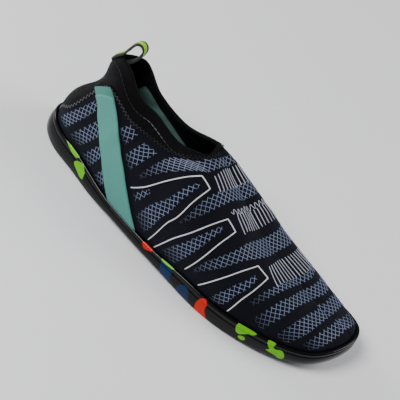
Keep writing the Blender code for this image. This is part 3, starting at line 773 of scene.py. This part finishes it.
# Bands of net: edge on the heel's side, edge on the toe's side, length that fades in
NETS = (
    (((0.058, 0.070), (0.091, 0.241), (0.105, 0.337)),
     ((0.094, 0.080), (0.120, 0.226), (0.131, 0.326)), 0.006),
    (((0.114, 0.080), (0.136, 0.210), (0.150, 0.315)),
     ((0.152, 0.090), (0.166, 0.185), (0.178, 0.270)), 0.010),
    (((0.168, 0.065), (0.180, 0.164), (0.192, 0.250)),
     ((0.199, 0.055), (0.207, 0.131), (0.211, 0.205)), 0.010),
    (((0.218, 0.030), (0.225, 0.093), (0.231, 0.170)),
     ((0.246, 0.020), (0.251, 0.050), (0.253, 0.100)), 0.008),
    (((0.198, 0.420), (0.208, 0.475), (0.215, 0.520)),
     ((0.238, 0.395), (0.244, 0.460), (0.249, 0.535)), 0.004),
    (((0.254, 0.360), (0.267, 0.475), (0.275, 0.545)),
     ((0.287, 0.315), (0.303, 0.453), (0.321, 0.586)), 0.006),
    (((0.312, 0.345), (0.324, 0.460), (0.339, 0.562), (0.359, 0.645), (0.396, 0.697),
      (0.428, 0.736), (0.447, 0.793), (0.475, 0.865), (0.494, 0.930), (0.5, 1.0)),
     ((0.319, 0.335), (0.340, 0.424), (0.364, 0.514), (0.396, 0.588), (0.438, 0.670),
      (0.463, 0.709), (0.488, 0.796), (0.518, 0.918), (0.527, 1.0)), 0.024),
    (((0.452, 0.300), (0.464, 0.400), (0.476, 0.505), (0.490, 0.584), (0.509, 0.668),
      (0.534, 0.768), (0.566, 0.907), (0.583, 1.0)),
     ((0.455, 0.295), (0.480, 0.400), (0.499, 0.477), (0.520, 0.570), (0.547, 0.688),
      (0.581, 0.827), (0.610, 0.930), (0.611, 1.0)), 0.030),
    (((0.536, 0.145), (0.554, 0.271), (0.573, 0.360), (0.601, 0.482), (0.630, 0.619),
      (0.659, 0.759), (0.697, 0.916), (0.710, 1.0)),
     ((0.542, 0.135), (0.569, 0.240), (0.599, 0.357), (0.621, 0.449), (0.653, 0.584),
      (0.693, 0.728), (0.728, 0.855), (0.748, 1.0)), 0.022),
    (((0.692, 0.340), (0.714, 0.481), (0.733, 0.577), (0.769, 0.737), (0.815, 0.920),
      (0.825, 1.0)),
     ((0.704, 0.330), (0.730, 0.471), (0.750, 0.567), (0.786, 0.728), (0.832, 0.910),
      (0.842, 1.0)), 0.022),
    (((0.714, 0.230), (0.742, 0.415), (0.771, 0.579), (0.809, 0.735), (0.843, 0.895),
      (0.850, 1.0)),
     ((0.741, 0.147), (0.756, 0.271), (0.781, 0.429), (0.820, 0.643), (0.858, 0.813),
      (0.890, 1.0)), 0.016),
    (((0.775, 0.190), (0.793, 0.328), (0.817, 0.480), (0.847, 0.634), (0.874, 0.760),
      (0.907, 0.905), (0.917, 1.0), (0.912, 1.110), (0.898, 1.192), (0.880, 1.330),
      (0.866, 1.471), (0.850, 1.660), (0.835, 1.840)),
     ((0.806, 0.130), (0.829, 0.280), (0.851, 0.413), (0.887, 0.608), (0.914, 0.718),
      (0.939, 0.783), (0.970, 0.850), (1.0, 0.895), (1.0, 1.108), (0.966, 1.178),
      (0.939, 1.256), (0.919, 1.354), (0.901, 1.493), (0.886, 1.670), (0.876, 1.840)), 0.016),
    (((0.842, 0.236), (0.874, 0.436), (0.911, 0.600), (0.945, 0.685), (0.980, 0.738),
      (1.0, 0.770), (1.0, 1.190), (0.980, 1.270), (0.952, 1.359), (0.927, 1.489),
      (0.912, 1.635), (0.905, 1.780)),
     ((0.863, 0.130), (0.896, 0.241), (0.925, 0.355), (0.960, 0.436), (1.0, 0.480),
      (1.0, 1.500), (0.981, 1.573), (0.965, 1.640), (0.947, 1.750), (0.938, 1.860)), 0.016),
    (((0.326, 0.215), (0.338, 0.279), (0.353, 0.340)),
     ((0.341, 0.185), (0.350, 0.240), (0.360, 0.320)), 0.004),
    (((0.358, 0.100), (0.374, 0.253), (0.384, 0.307), (0.398, 0.362), (0.417, 0.470),
      (0.430, 0.534), (0.452, 0.600)),
     ((0.398, 0.045), (0.406, 0.135), (0.411, 0.227), (0.421, 0.296), (0.433, 0.430),
      (0.444, 0.499), (0.460, 0.590)), 0.014),
    (((0.454, 0.055), (0.468, 0.144), (0.484, 0.219), (0.509, 0.348), (0.538, 0.481),
      (0.560, 0.570)),
     ((0.492, 0.045), (0.505, 0.140), (0.525, 0.283), (0.546, 0.429), (0.567, 0.560)), 0.018),
    (((0.604, 0.085), (0.615, 0.176), (0.630, 0.260), (0.643, 0.346), (0.663, 0.440),
      (0.678, 0.520), (0.694, 0.600)),
     ((0.617, 0.070), (0.632, 0.100), (0.644, 0.168), (0.656, 0.286), (0.675, 0.397),
      (0.688, 0.480), (0.701, 0.590)), 0.010),
)


def net_runs(heel_edge, toe_edge, fade_in):
    """The two families of slanting lines of one band, clipped to its edges."""
    near, far = edge_path(heel_edge), edge_path(toe_edge)
    a, b = over(*near.T), over(*far.T)
    run = lengths((a + b) / 2, 0)
    width = np.linalg.norm(a - b, axis=1)
    total, widest = run[-1], width.max()
    rows, half = np.arange(len(run)), len(run) // 2      # a band over the crest meets at half
    made, fades, lifts = [], [], []
    for hand in (1, -1):
        for k in range(-8, int(total / NET_CELL) + 9):
            r = np.linspace(-widest / 2, widest / 2, NET_STEPS)
            p = (k + 0.5) * NET_CELL + hand * r / NET_RISE
            here = np.interp(p, run, width)
            held = (np.abs(r) <= here / 2) & (p >= 0) & (p <= total)
            if held.sum() < 6:
                continue
            picked = np.flatnonzero(held)
            if picked[-1] - picked[0] + 1 != len(picked):
                picked = max(np.split(picked, np.flatnonzero(np.diff(picked) > 1) + 1), key=len)
            count = max(3, int(len(picked) * widest / (NET_STEPS - 1) / NET_PIECE) + 2)
            at = np.interp(np.linspace(0, 1, count), np.linspace(0, 1, len(picked)), picked)
            p, r = (np.interp(at, np.arange(NET_STEPS), values) for values in (p, r))
            q = (r / np.interp(p, run, width) + 0.5)[:, None]
            row = np.interp(p, run, rows)
            row = np.where(np.floor(row) == half - 1, np.round(row), row)
            first = np.stack([np.interp(row, rows, near[:, c]) for c in (0, 1)], 1)
            second = np.stack([np.interp(row, rows, far[:, c]) for c in (0, 1)], 1)
            made.append(first * (1 - q) + second * q)
            p = np.minimum(p, total - p) if near[-1, 1] > 1 else p
            fades.append(np.clip(p / fade_in, NET_FAINT, 1))
            lifts.append(NET_OVER if hand == 1 else 0.0)
    if near[-1, 1] < 1:
        made, fades, lifts = made + [other_side(run) for run in made], fades * 2, lifts * 2
    return made, fades, lifts


def print_finish(name, faint, full, rough):
    """Silicone print that thins out where its fade mark is low."""
    ink = Finish(name, rough, Specular_IOR_Level=0.45)
    uneven = ink.group(UNEVEN, Vector=ink.place("object"), Size=0.006)
    cover = ink.math("MULTIPLY_ADD", uneven["Broad"], 0.7, 0.55)
    left = ink.math("MINIMUM", ink.math("MULTIPLY", ink.mark("fade"), cover), 1.0)
    ink.colour(ink.mix(left, faint, full))
    ink.bump(uneven["Fine"], 0.00008, 0.6)
    return ink.material


nets = [net_runs(*rows) for rows in NETS]
net_lines, net_fades, net_lifts = (sum((part[k] for part in nets), []) for k in range(3))
net = strips("printed_net", net_lines,
             print_finish("lavender_print", (0.008, 0.011, 0.022, 1), (0.17, 0.21, 0.34, 1), 0.5),
             NET_WIDE, NET_HIGH, net_fades, net_lifts)
fit(net, "knit")

STRIPE_PITCH, STRIPE_WIDE, STRIPE_HIGH = 0.0033, 0.00072, 0.00030
STRIPES = (
    (((0.485, 0.726), (0.500, 0.800), (0.519, 0.900), (0.532, 1.0)),
     ((0.519, 0.696), (0.535, 0.762), (0.563, 0.869), (0.583, 1.0))),
    (((0.597, 0.762), (0.614, 0.846), (0.636, 0.930), (0.642, 1.0)),
     ((0.633, 0.716), (0.645, 0.790), (0.672, 0.900), (0.681, 1.0))),
    (((0.728, 0.767), (0.750, 0.870), (0.766, 0.950), (0.770, 1.0)),
     ((0.757, 0.662), (0.783, 0.788), (0.812, 0.900), (0.822, 1.0))),
)
WAVE_TOP = ((0.577, 0.725), (0.597, 0.790), (0.617, 0.865), (0.632, 0.940), (0.636, 1.0))
WAVE_PITCH, WAVE_TALL, WAVE_HIGH = 0.0044, 0.0022, 0.00026
WAVE_REACH = 1.6        # its swing against the same one measured along the outline


def stripe_runs(heel_edge, toe_edge):
    """Long lines from one edge of a block to the other."""
    near, far = edge_path(heel_edge), edge_path(toe_edge)
    run = lengths((over(*near.T) + over(*far.T)) / 2, 0)
    made = []
    for p in np.arange(STRIPE_PITCH / 2, run[-1], STRIPE_PITCH):
        ends = [np.array([np.interp(p, run, path[:, c]) for c in (0, 1)]) for path in (near, far)]
        made.append(ends[0] + (ends[1] - ends[0]) * np.linspace(0, 1, 10)[:, None])
    return made


def wave_run():
    """The wavy line over the middle block."""
    path = edge_path(WAVE_TOP)
    run = lengths(over(*path.T), 0)
    at = np.linspace(0, run[-1], 180)
    swing = WAVE_TALL / 2 / HALF_RUN * WAVE_REACH * np.sin(at / WAVE_PITCH * 2 * math.pi)
    return np.column_stack([np.interp(at, run, path[:, 0]) + swing,
                            np.interp(at, run, path[:, 1])])


pale_ink = print_finish("pale_print", (0.05, 0.055, 0.075, 1), (0.46, 0.47, 0.56, 1), 0.45)
stripe_lines = sum((stripe_runs(*rows) for rows in STRIPES), [])
stripes = strips("printed_stripes", stripe_lines, pale_ink, STRIPE_WIDE, STRIPE_HIGH)
fit(stripes, "knit")
wave = strips("printed_wave", [wave_run()], pale_ink, NET_WIDE, WAVE_HIGH)
fit(wave, "knit")

PETAL_WIDE, PETAL_HIGH = 0.00098, 0.00036
PETALS = (
    (((0.313, 0.236), (0.322, 0.262), (0.339, 0.318)),
     ((0.339, 0.318), (0.377, 0.469), (0.414, 0.574), (0.453, 0.659)),
     ((0.453, 0.659), (0.488, 0.640)),
     ((0.488, 0.640), (0.458, 0.463), (0.442, 0.313), (0.430, 0.242), (0.421, 0.123),
      (0.414, 0.030))),
    (((0.435, 0.023), (0.459, 0.182), (0.490, 0.319), (0.526, 0.476), (0.572, 0.657)),
     ((0.572, 0.657), (0.607, 0.664)),
     ((0.607, 0.664), (0.567, 0.446), (0.547, 0.301), (0.521, 0.095))),
    (((0.566, 0.087), (0.605, 0.281), (0.647, 0.474), (0.695, 0.676)),
     ((0.695, 0.676), (0.730, 0.675)),
     ((0.730, 0.675), (0.698, 0.474), (0.670, 0.279), (0.654, 0.099))),
)
petal_lines = [np.concatenate([smooth_path(line, 26)[:-1] for line in petal[:-1]]
                              + [smooth_path(petal[-1], 30)]) for petal in PETALS]
petals = strips("petal_lines", petal_lines + [other_side(run) for run in petal_lines],
                print_finish("white_print", (0.30, 0.30, 0.33, 1), (0.66, 0.66, 0.69, 1), 0.4),
                PETAL_WIDE, PETAL_HIGH)
fit(petals, "knit")

# COLLAR. Black neoprene sewn on over the knit: a heel panel that runs down into the cup and
# a soft band round the ankle, turned over at the rim and left thick at the throat.
RIM = (
    (0.00, 0.905, 0.905), (0.08, 0.945, 0.925), (0.16, 0.922, 0.934), (0.26, 0.965, 0.918),
    (0.36, 0.948, 0.945), (0.43, 0.962, 0.958), (0.465, 0.978, 0.976), (0.475, 1.0, 1.0),
)
THROAT = 0.475
COLLAR_OUT, ROLL = 0.0006, 0.0019
COLLAR_STEP = 12                            # how soon it stands out from the knit at the seam
BAND_INWARD, TUCK_INWARD = ROLL * 0.85, 0.0014     # the band inside, and its hidden edge
BAND_LOWEST, COLUMN_LEAST = -3.5, 0.004     # so that a short column's band stays on the last
# Depth of the black band inside the rim, by share of the half outline; its deep reach towards
# the throat is partly real band and partly a dark sheet standing in for painted shade inside the
# shoe
BAND = (
    (0.00, 0.034), (0.145, 0.034), (0.172, 0.0125), (0.200, 0.0100), (0.245, 0.0120),
    (0.270, 0.0140), (0.305, 0.0220), (0.345, 0.0330), (0.475, 0.0360),
)


def rim_turn(side, s):
    return turn_at(side, s, np.where(s < THROAT, spread(RIM, 1 + side, s), 1.0))


def eased(values, times):
    """Values round a closed ring, averaged with their neighbours."""
    for _ in range(times):
        values = values / 2 + (np.roll(values, 1, axis=0) + np.roll(values, -1, axis=0)) / 4
    return values


def bridged(rows):
    """Rows with the columns beside the heel's centre line drawn between their neighbours."""
    rows[1] = (rows[0] + rows[2]) / 2
    rows[-1] = (rows[0] + rows[-2]) / 2
    return rows


def collar_columns(count=110):
    """Loop of columns from the seam to the rim: side, shares at the seam and at the rim."""
    share = np.linspace(0, 1, count)
    share = 0.5 * share + 0.5 * (1 - (1 - share) ** 2)
    share = share * 0.6 + (1 - np.cos(np.linspace(0, 1, count) * math.pi / 2)) * 0.4
    lateral = [(LATERAL, value) for value in share]
    return lateral + [(MEDIAL, value) for value in share[::-1][1:-1]]


def collar_surface(outer_rows=22, roll_rows=9, inner_rows=16):
    columns = collar_columns()
    side = np.array([column[0] for column in columns])
    share = np.array([column[1] for column in columns])
    low_s, rim_s = share * SEAM_END, share * THROAT

    def at(turn_share, out):
        """Points on each column, at shares of the way from the seam to the rim."""
        points = np.zeros((len(columns),) + np.shape(turn_share)[1:] + (3,))
        for which in (LATERAL, MEDIAL):
            pick = side == which
            first = np.maximum(seam_turn(low_s[pick]), 0.0)[:, None]
            last = rim_turn(which, rim_s[pick])[:, None]
            v = turn_share[pick]
            s = low_s[pick][:, None] + (rim_s - low_s)[pick][:, None] * v
            depth = out[pick] if np.ndim(out) else out
            points[pick] = skin(which, s, np.clip(first + (last - first) * v, 0, 1), depth)
        return points

    def column_of(values):
        return np.repeat(np.asarray(values, float)[None], len(columns), 0)

    v = np.linspace(0, 1, outer_rows)
    outer = at(column_of(v), column_of(COLLAR_OUT * np.clip(v * COLLAR_STEP, 0, 1)))
    outer_start = at(column_of([0.0]), column_of([-0.0004]))
    rim = at(column_of([1.0]), -UPPER_WALL / 2)[:, 0]
    normal = rim - at(column_of([1.0]), -UPPER_WALL / 2 - 0.001)[:, 0]
    centre = eased(rim, 10)
    normal = unit(eased(normal, 10))
    along = np.roll(centre, -1, axis=0) - np.roll(centre, 1, axis=0)
    opening = unit(np.cross(normal, along))
    angle = np.linspace(0.0, math.pi, roll_rows)[:, None]
    roll = centre[:, None] + ROLL * (np.cos(angle) * normal[:, None]
                                     + np.sin(angle) * opening[:, None])
    deep = lengths(outer, 1)[:, -1:]
    depth = spread(BAND, 1, rim_s)[:, None]
    inner_v = 1 - np.linspace(0.04, 1, inner_rows)[None] * depth / np.maximum(deep, COLUMN_LEAST)
    inner_v = np.maximum(inner_v, BAND_LOWEST)
    inner = bridged(at(inner_v, -UPPER_WALL / 2 - BAND_INWARD))
    hang = (v ** 5)[None, :, None]
    outer = outer + (roll[:, :1] - outer[:, -1:]) * hang
    fall = np.linspace(1, 0, inner_rows)[None, :, None] ** 3
    first = at(column_of([1.0]), -UPPER_WALL / 2 - ROLL)
    inner = inner + (roll[:, -1:] - first) * fall
    tucked = bridged(at(inner_v[:, -1:], -TUCK_INWARD))
    return np.concatenate([outer_start, outer, roll[:, 1:], inner, tucked], 1)


def neoprene_finish():
    jersey, height, uneven = cloth(
        "black_neoprene", 0.55, (0.0007, 0.0006, 0.9), (0.0008, 0.0008, 0.0010, 1),
        (0.0012, 0.0012, 0.0015, 1), (0.0030, 0.0030, 0.0036, 1), 0.025, Sheen_Weight=0.02,
        Sheen_Roughness=0.35, Sheen_Tint=(0.8, 0.85, 1.0, 1), Specular_IOR_Level=0.08)
    jersey.roughness(jersey.math("MULTIPLY_ADD", uneven["Fine"], 0.2, 0.45))
    jersey.bump(jersey.math("ADD", height, uneven["Broad"]), 0.00010)
    return jersey.material


collar_grid = collar_surface()
collar_places = np.stack([lengths(collar_grid, 0), lengths(collar_grid, 1)], -1)
collar_grid = np.concatenate([collar_grid, collar_grid[:1]])
collar_places = np.concatenate([collar_places, collar_places[:1]])
collar = grid_piece("neoprene_collar", collar_grid, neoprene_finish(), uv=collar_places, weld=True)
fit(collar, "neoprene", "collar")

# LINING. Mint jersey glued to the inside of the knit and turned in under the collar's band.
# It is cut as two halves, one for each side, which meet at the heel.
LINING_IN, LINING_END = -0.0017, 0.60
LINING_BELOW = 0.02     # share up by which it ends below the rim


def lining_finish():
    jersey, height, _ = cloth(
        "mint_lining", 0.88, (0.0010, 0.0008, 1.0), (0.07, 0.18, 0.155, 1),
        (0.16, 0.38, 0.33, 1), (0.22, 0.48, 0.42, 1), Sheen_Weight=0.08, Sheen_Roughness=0.5)
    jersey.bump(height, 0.0002)
    return jersey.material


def lining_point(side, s, v):
    top = np.where(s < THROAT, rim_turn(side, s) - LINING_BELOW, 1.0)
    return fabric(side, s, v * top, LINING_IN)


mint_jersey = lining_finish()
lining_stations = np.linspace(0, LINING_END, 90)
for side, hand in ((LATERAL, "lateral"), (MEDIAL, "medial")):
    lining_grid = lining_point(side, lining_stations[:, None], np.linspace(0.0, 1, 40)[None])
    lining_grid[1] = (lining_grid[0] + lining_grid[2]) / 2
    lining_uv = np.stack([lengths(lining_grid, 0), lengths(lining_grid, 1)], -1)
    lining = grid_piece("lining_" + hand, lining_grid, mint_jersey, uv=lining_uv)
    fit(lining, "foam")

# SEWING. A zigzag of grey thread joins collar and knit and darkens towards the throat; two
# rows of topstitching hold the turned rim, coloured pale only on a short stretch as a painted
# highlight where the light catches them.
def threads(name, runs, finish, radius, fades, sides=6):
    """Round threads along runs of points."""
    angle = (np.arange(sides) * 2 * math.pi / sides)[None, :, None]
    rings = []
    for run in runs:
        along = unit(np.gradient(run, axis=0), TINY)
        beside = unit(np.cross(along, (0.13, 0.29, 0.95)), TINY)
        above = np.cross(along, beside)
        rings.append(run[:, None] + radius * (np.cos(angle) * beside[:, None]
                                              + np.sin(angle) * above[:, None]))
    return tubes(name, rings, fades, finish)


ZIG_PITCH, ZIG_HALF, ZIG_START, ZIG_LIFT = 0.0030, 0.0011, 0.002, 0.0004
THREAD, HEM_THREAD, HEM_LIFT = 0.00024, 0.00020, 0.00025
HEM_FROM, HEM_TO = 0.02, 0.455
PROBE = 0.02            # share up over which the way down from the rim is measured


def seam_zigzag(side):
    """Zigzag thread over the seam from the cup to the throat."""
    path = smooth_path([row for row in SEAM if row[1] > 0], 300)
    track = skin(side, path[:, 0], path[:, 1])
    run = lengths(track, 0)
    at = np.arange(ZIG_START, run[-1] - ZIG_START, ZIG_PITCH / 2)
    s, turn = np.interp(at, run, path[:, 0]), np.interp(at, run, path[:, 1])
    points = fabric(side, s, turn, COLLAR_OUT + ZIG_LIFT)
    normal = points - fabric(side, s, turn)
    across = unit(np.cross(normal, np.gradient(points, axis=0)))
    swing = ZIG_HALF * np.where(np.arange(len(at)) % 2, 1, -1)[:, None]
    fade = np.clip(1.25 - np.abs(turn - 0.30) / 0.26, 0.04, 1)
    return points + across * swing, fade


def top_stitches(side, below=0.0062, length=0.0026, gap=0.0009):
    """Short stitches that follow the rim at one distance below it."""
    s = np.linspace(HEM_FROM, HEM_TO, 260)
    turn = rim_turn(side, s)
    drop = skin(side, s, turn) - skin(side, s, turn - PROBE)
    turn = turn - PROBE * below / np.linalg.norm(drop, axis=1)
    track = skin(side, s, turn, COLLAR_OUT + HEM_LIFT)
    run = lengths(track, 0)
    runs, fades = [], []
    for start in np.arange(0, run[-1] - length, length + gap):
        at = np.linspace(start, start + length, 5)
        points = np.stack([np.interp(at, run, track[:, k]) for k in range(3)], 1)
        here = np.interp(start, run, s)
        runs.append(points)
        # Painted highlight: each stitch is coloured pale only near a share of 0.27 along the rim
        # and fades to dark thread elsewhere.
        fades.append(np.full(5, float(np.clip(1.3 - abs(here - 0.27) / 0.045, 0.03, 1))))
    return runs, fades


thread_grey = print_finish("grey_thread", (0.006, 0.006, 0.008, 1), (0.19, 0.19, 0.22, 1), 0.7)
zigzags, zig_fades = zip(*(seam_zigzag(side) for side in (LATERAL, MEDIAL)))
fit(threads("seam_zigzag", zigzags, thread_grey, THREAD, zig_fades), "neoprene")
stitched = [top_stitches(side) for side in (LATERAL, MEDIAL)]
sewn, sewn_painted_highlight = (sum(both, []) for both in zip(*stitched))
fit(threads("rim_topstitch", sewn, thread_grey, HEM_THREAD, sewn_painted_highlight), "neoprene")

# STRAPS. A mint webbing tape on each side, sewn in at the ankle with its end folded under
# and pulled down into the cup. The outer one is left plain; the inner one is its pair.
STRAP = (
    (0.068, 0.338, 0.112, 0.469), (0.090, 0.338, 0.135, 0.465), (0.092, 0.338, 0.137, 0.464),
    (0.114, 0.337, 0.165, 0.445), (0.143, 0.305, 0.206, 0.412), (0.172, 0.271, 0.240, 0.360),
    (0.211, 0.204, 0.273, 0.303), (0.238, 0.135, 0.318, 0.186), (0.265, 0.059, 0.355, 0.080),
    (0.285, 0.000, 0.385, 0.000),
)
STRAP_BASE, STRAP_THICK, STRAP_HALF, STRAP_ROUND = 0.0011, 0.0011, 0.0095, 14
STRAP_SUNK = 0.02       # share up by which its lower end stands behind the sole's lip
STRAP_FOLD, FOLD_LONG, FOLD_STEP, FOLD_LEVEL = 0.0010, 0.0062, 0.0007, 0.016
FOLD_END = 0.25         # how far the folded end itself stands up, against the rest
FOLD_PAINTED_SHADE = 0.45       # how much painted shade darkens the folded end
FOLD_SHARP, SELVEDGE_SHARP = 2500.0, 6000.0     # per metre, how soon a colour sets in


def tape_round(halves, around, at):
    """Tape from its two faces, drawn together at the ends, with its own coordinates."""
    grid = np.concatenate(halves, 1)
    first, last = (np.repeat(row.mean(axis=1, keepdims=True), grid.shape[1], 1)
                   for row in (grid[:1], grid[-1:]))
    grid = np.concatenate([first, grid, last])
    u = np.broadcast_to(around, grid.shape[:2])
    v = np.broadcast_to(np.concatenate([[0], at, at[-1:]])[:, None], grid.shape[:2])
    return grid, np.stack([u, v], -1)


def strap_grid(side, rows=120, across=18):
    track = np.array(STRAP)
    middle = skin(LATERAL, (track[:, 0] + track[:, 2]) / 2, (track[:, 1] + track[:, 3]) / 2)
    run = lengths(middle, 0)
    table = np.column_stack([run, track])
    at = np.linspace(0, run[-1], rows)
    rear_s, rear_t, front_s, front_t = (spread(table, k, at)[:, None] for k in (1, 2, 3, 4))
    past = at - FOLD_LONG
    lift = np.clip(past / FOLD_STEP, 0, 1) * np.clip(1 - past / FOLD_LEVEL, 0, 1)
    lift = (lift + FOLD_END * np.clip(1 - at / FOLD_LONG, 0, 1))[:, None] * STRAP_FOLD
    order = np.linspace(-1, 1, across)
    halves = []
    for top in (True, False):
        q = order if top else order[::-1]
        share = (q[None] + 1) / 2
        s = rear_s + (front_s - rear_s) * share
        turn = rear_t + (front_t - rear_t) * share
        turn = np.maximum(turn, lip(side, s) - STRAP_SUNK)
        round_off = STRAP_THICK / 2 * (1 - np.sqrt(1 - np.abs(q) ** STRAP_ROUND))[None]
        out = STRAP_BASE + (STRAP_THICK + lift - round_off if top else round_off + 0 * lift)
        halves.append(fabric(side, s, turn, out))
    return tape_round(halves, np.concatenate([order, order[::-1] + 2.2]) * STRAP_HALF, at)


def webbing_finish(name, dark, tint, shade, edge_tint=None, edge_at=1.0, painted_shade_until=0.0):
    tape = Finish(name, 0.72, Sheen_Weight=0.05, Sheen_Roughness=0.4)
    weave = tape.group(WEAVE, Vector=tape.place(), Warp=0.0008, Weft=0.0005, Slant=1.0)
    uneven = tape.group(UNEVEN, Vector=tape.place("object"), Size=0.02)
    thread = tape.mix(uneven["Broad"], shade, tint)
    share = tape.math("MULTIPLY_ADD", weave["Height"], 0.55, 0.45)
    thread = tape.mix(share, dark, thread)
    apart = tape.node("SeparateXYZ", Vector=tape.place())
    # Painted shade: from the tape's end up to the fold the colour is drawn darker, standing in for
    # the shade on the folded end.
    if painted_shade_until:
        before = tape.math("SUBTRACT", painted_shade_until, apart.outputs[1])
        share = tape.ramp(tape.math("MULTIPLY", before, FOLD_SHARP), FOLD_PAINTED_SHADE)
        thread = tape.mix(share, thread, dark)
    if edge_tint:
        off = tape.math("SUBTRACT", tape.math("ABSOLUTE", apart.outputs[0]), edge_at)
        share = tape.ramp(tape.math("MULTIPLY", off, SELVEDGE_SHARP))
        thread = tape.mix(share, thread, edge_tint)
    tape.colour(thread)
    tape.bump(weave["Height"], 0.00022, 0.8)
    return tape.material


# The mint tape's folded end carries painted shade, darker than the rest of the tape.
mint_tape = webbing_finish("mint_webbing", (0.018, 0.11, 0.090, 1), (0.095, 0.38, 0.325, 1),
                           (0.065, 0.31, 0.260, 1), painted_shade_until=FOLD_LONG)
for side, hand in ((LATERAL, "lateral"), (MEDIAL, "medial")):
    strap_points, strap_uv = strap_grid(side)
    strap = grid_piece("mint_strap_" + hand, strap_points, mint_tape, closed=True, uv=strap_uv,
                       weld=True)
    fit(strap, "mint_webbing", "strap_" + hand)

# PULL LOOP. A short lime tape with black selvedges, bent over a finger's width and sewn
# through the collar at the back of the heel, one leg outside and one inside.
LOOP_WIDE, LOOP_THICK, LOOP_CUP = 0.0076, 0.0014, 0.0065
LOOP_OUTSIDE, LOOP_INSIDE, LOOP_Y, LOOP_RISE = 0.0007, 0.0024, 0.0010, 0.0202
LOOP_ARC = (
    (0.05, 0.22), (0.12, 0.50), (0.19, 0.76), (0.28, 0.94), (0.40, 1.00),
    (0.52, 0.95), (0.60, 0.78), (0.57, 0.50), (0.49, 0.26), (0.40, 0.10),
)
LOOP_LEGS = (0.87, 0.925, 0.98)     # shares of the way up to the rim
LOOP_EASED = 6


def loop_grid(rows=110, across=14):
    start = np.zeros(1)
    top = rim_turn(LATERAL, start)
    outside = LOOP_OUTSIDE + LOOP_THICK / 2
    inward = -(UPPER_WALL + LOOP_INSIDE + LOOP_THICK / 2)
    rim_x, _, rim_z = skin(LATERAL, start, top)[0]
    back = [skin(LATERAL, start, top * share, outside)[0] for share in LOOP_LEGS]
    front = [skin(LATERAL, start, top * share, inward)[0] for share in LOOP_LEGS[::-1]]
    run = [(point[0], point[2]) for point in back]
    run += [(rim_x + forward, rim_z + up) for forward, up in np.array(LOOP_ARC) * LOOP_RISE]
    run += [(point[0], point[2]) for point in front]
    at = np.linspace(0, lengths(np.array(run), 0)[-1], rows)
    path = smooth_path(run, rows)
    for _ in range(LOOP_EASED):
        path[1:-1] = path[1:-1] / 2 + (path[2:] + path[:-2]) / 4
    ahead = unit(np.gradient(path, axis=0))
    out = np.stack([-ahead[:, 1], ahead[:, 0]], 1)
    order = np.linspace(-1, 1, across)
    halves = []
    for sign in (1, -1):
        q = order[::sign]
        thick = LOOP_THICK / 2 * np.sqrt(1 - np.abs(q) ** 10) * sign
        y = q * LOOP_WIDE / 2
        x = path[:, :1] + out[:, :1] * thick + y * y / (2 * LOOP_CUP)
        z = path[:, 1:] + out[:, 1:] * thick
        halves.append(np.stack([x, np.broadcast_to(y + LOOP_Y, x.shape), z], -1))
    return tape_round(halves, np.concatenate([order, order[::-1] + 2]) * LOOP_WIDE / 2, at)


lime_tape = webbing_finish("lime_webbing", (0.10, 0.25, 0.0, 1), (0.40, 0.80, 0.0, 1),
                           (0.32, 0.70, 0.0, 1), (0.0015, 0.0015, 0.002, 1), 0.0017)
loop_points, loop_uv = loop_grid()
loop = grid_piece("heel_pull_loop", loop_points, lime_tape, closed=True, uv=loop_uv, weld=True)
fit(loop, "lime_webbing", "pull_loop")

# STUDIO. A pale floor under soft lights, and a camera at the photograph's angle. None of it
# belongs to the shoe.
FLOOR_HALF = 4.0
floor_mesh = bpy.data.meshes.new("pale_floor")
floor_mesh.from_pydata([(x * FLOOR_HALF, y * FLOOR_HALF, 0.0) for x, y in
                        ((-1, -1), (1, -1), (1, 1), (-1, 1))], [], [(0, 1, 2, 3)])
floor_paint = Finish("floor_paint", 0.75, Base_Color=(0.92, 0.92, 0.94, 1))
floor_mesh.materials.append(floor_paint.material)
floor = bpy.data.objects.new("pale_floor", floor_mesh)
bpy.context.scene.collection.objects.link(floor)


def soft_light(name, place, size, power, colour=(1, 1, 1)):
    lamp = bpy.data.lights.new(name, "AREA")
    lamp.shape, lamp.size, lamp.energy, lamp.color = "DISK", size, power, colour
    lit = bpy.data.objects.new(name, lamp)
    lit.location = place
    lit.rotation_euler = (Vector((0, 0, 0.04)) - Vector(place)).to_track_quat("-Z", "Y").to_euler()
    bpy.context.scene.collection.objects.link(lit)


soft_light("key_light", (-0.55, -0.85, 1.25), 0.7, 23)
soft_light("heel_light", (-1.25, 0.10, 0.42), 0.5, 8)
soft_light("far_light", (0.95, 0.75, 0.95), 0.9, 12)
world = bpy.data.worlds.new("studio_air")
world.use_nodes = True
world.node_tree.nodes["Background"].inputs["Color"].default_value = (0.75, 0.76, 0.80, 1)
world.node_tree.nodes["Background"].inputs["Strength"].default_value = 0.25
bpy.context.scene.world = world

AZIMUTH, ELEVATION, ROLL_ANGLE = (math.radians(angle) for angle in (8.37, 43.46, 36.48))
DISTANCE, LENS = 1.36734, 177.11
AIM = Vector((-0.0110, -0.00347, 0.0413))
back = Vector((math.sin(AZIMUTH) * math.cos(ELEVATION), -math.cos(AZIMUTH) * math.cos(ELEVATION),
               math.sin(ELEVATION)))
level = (-back).cross(Vector((0, 0, 1))).normalized()
upright = level.cross(-back)
right = level * math.cos(ROLL_ANGLE) + upright * math.sin(ROLL_ANGLE)
upward = upright * math.cos(ROLL_ANGLE) - level * math.sin(ROLL_ANGLE)
lens = bpy.data.cameras.new("camera")
lens.lens, lens.sensor_width, lens.clip_start, lens.clip_end = LENS, 36.0, 0.05, 20.0
camera = bpy.data.objects.new("camera", lens)
turned = Matrix((right, upward, back)).transposed().to_4x4()
camera.matrix_world = Matrix.Translation(AIM + back * DISTANCE) @ turned
bpy.context.scene.collection.objects.link(camera)
bpy.context.scene.camera = camera
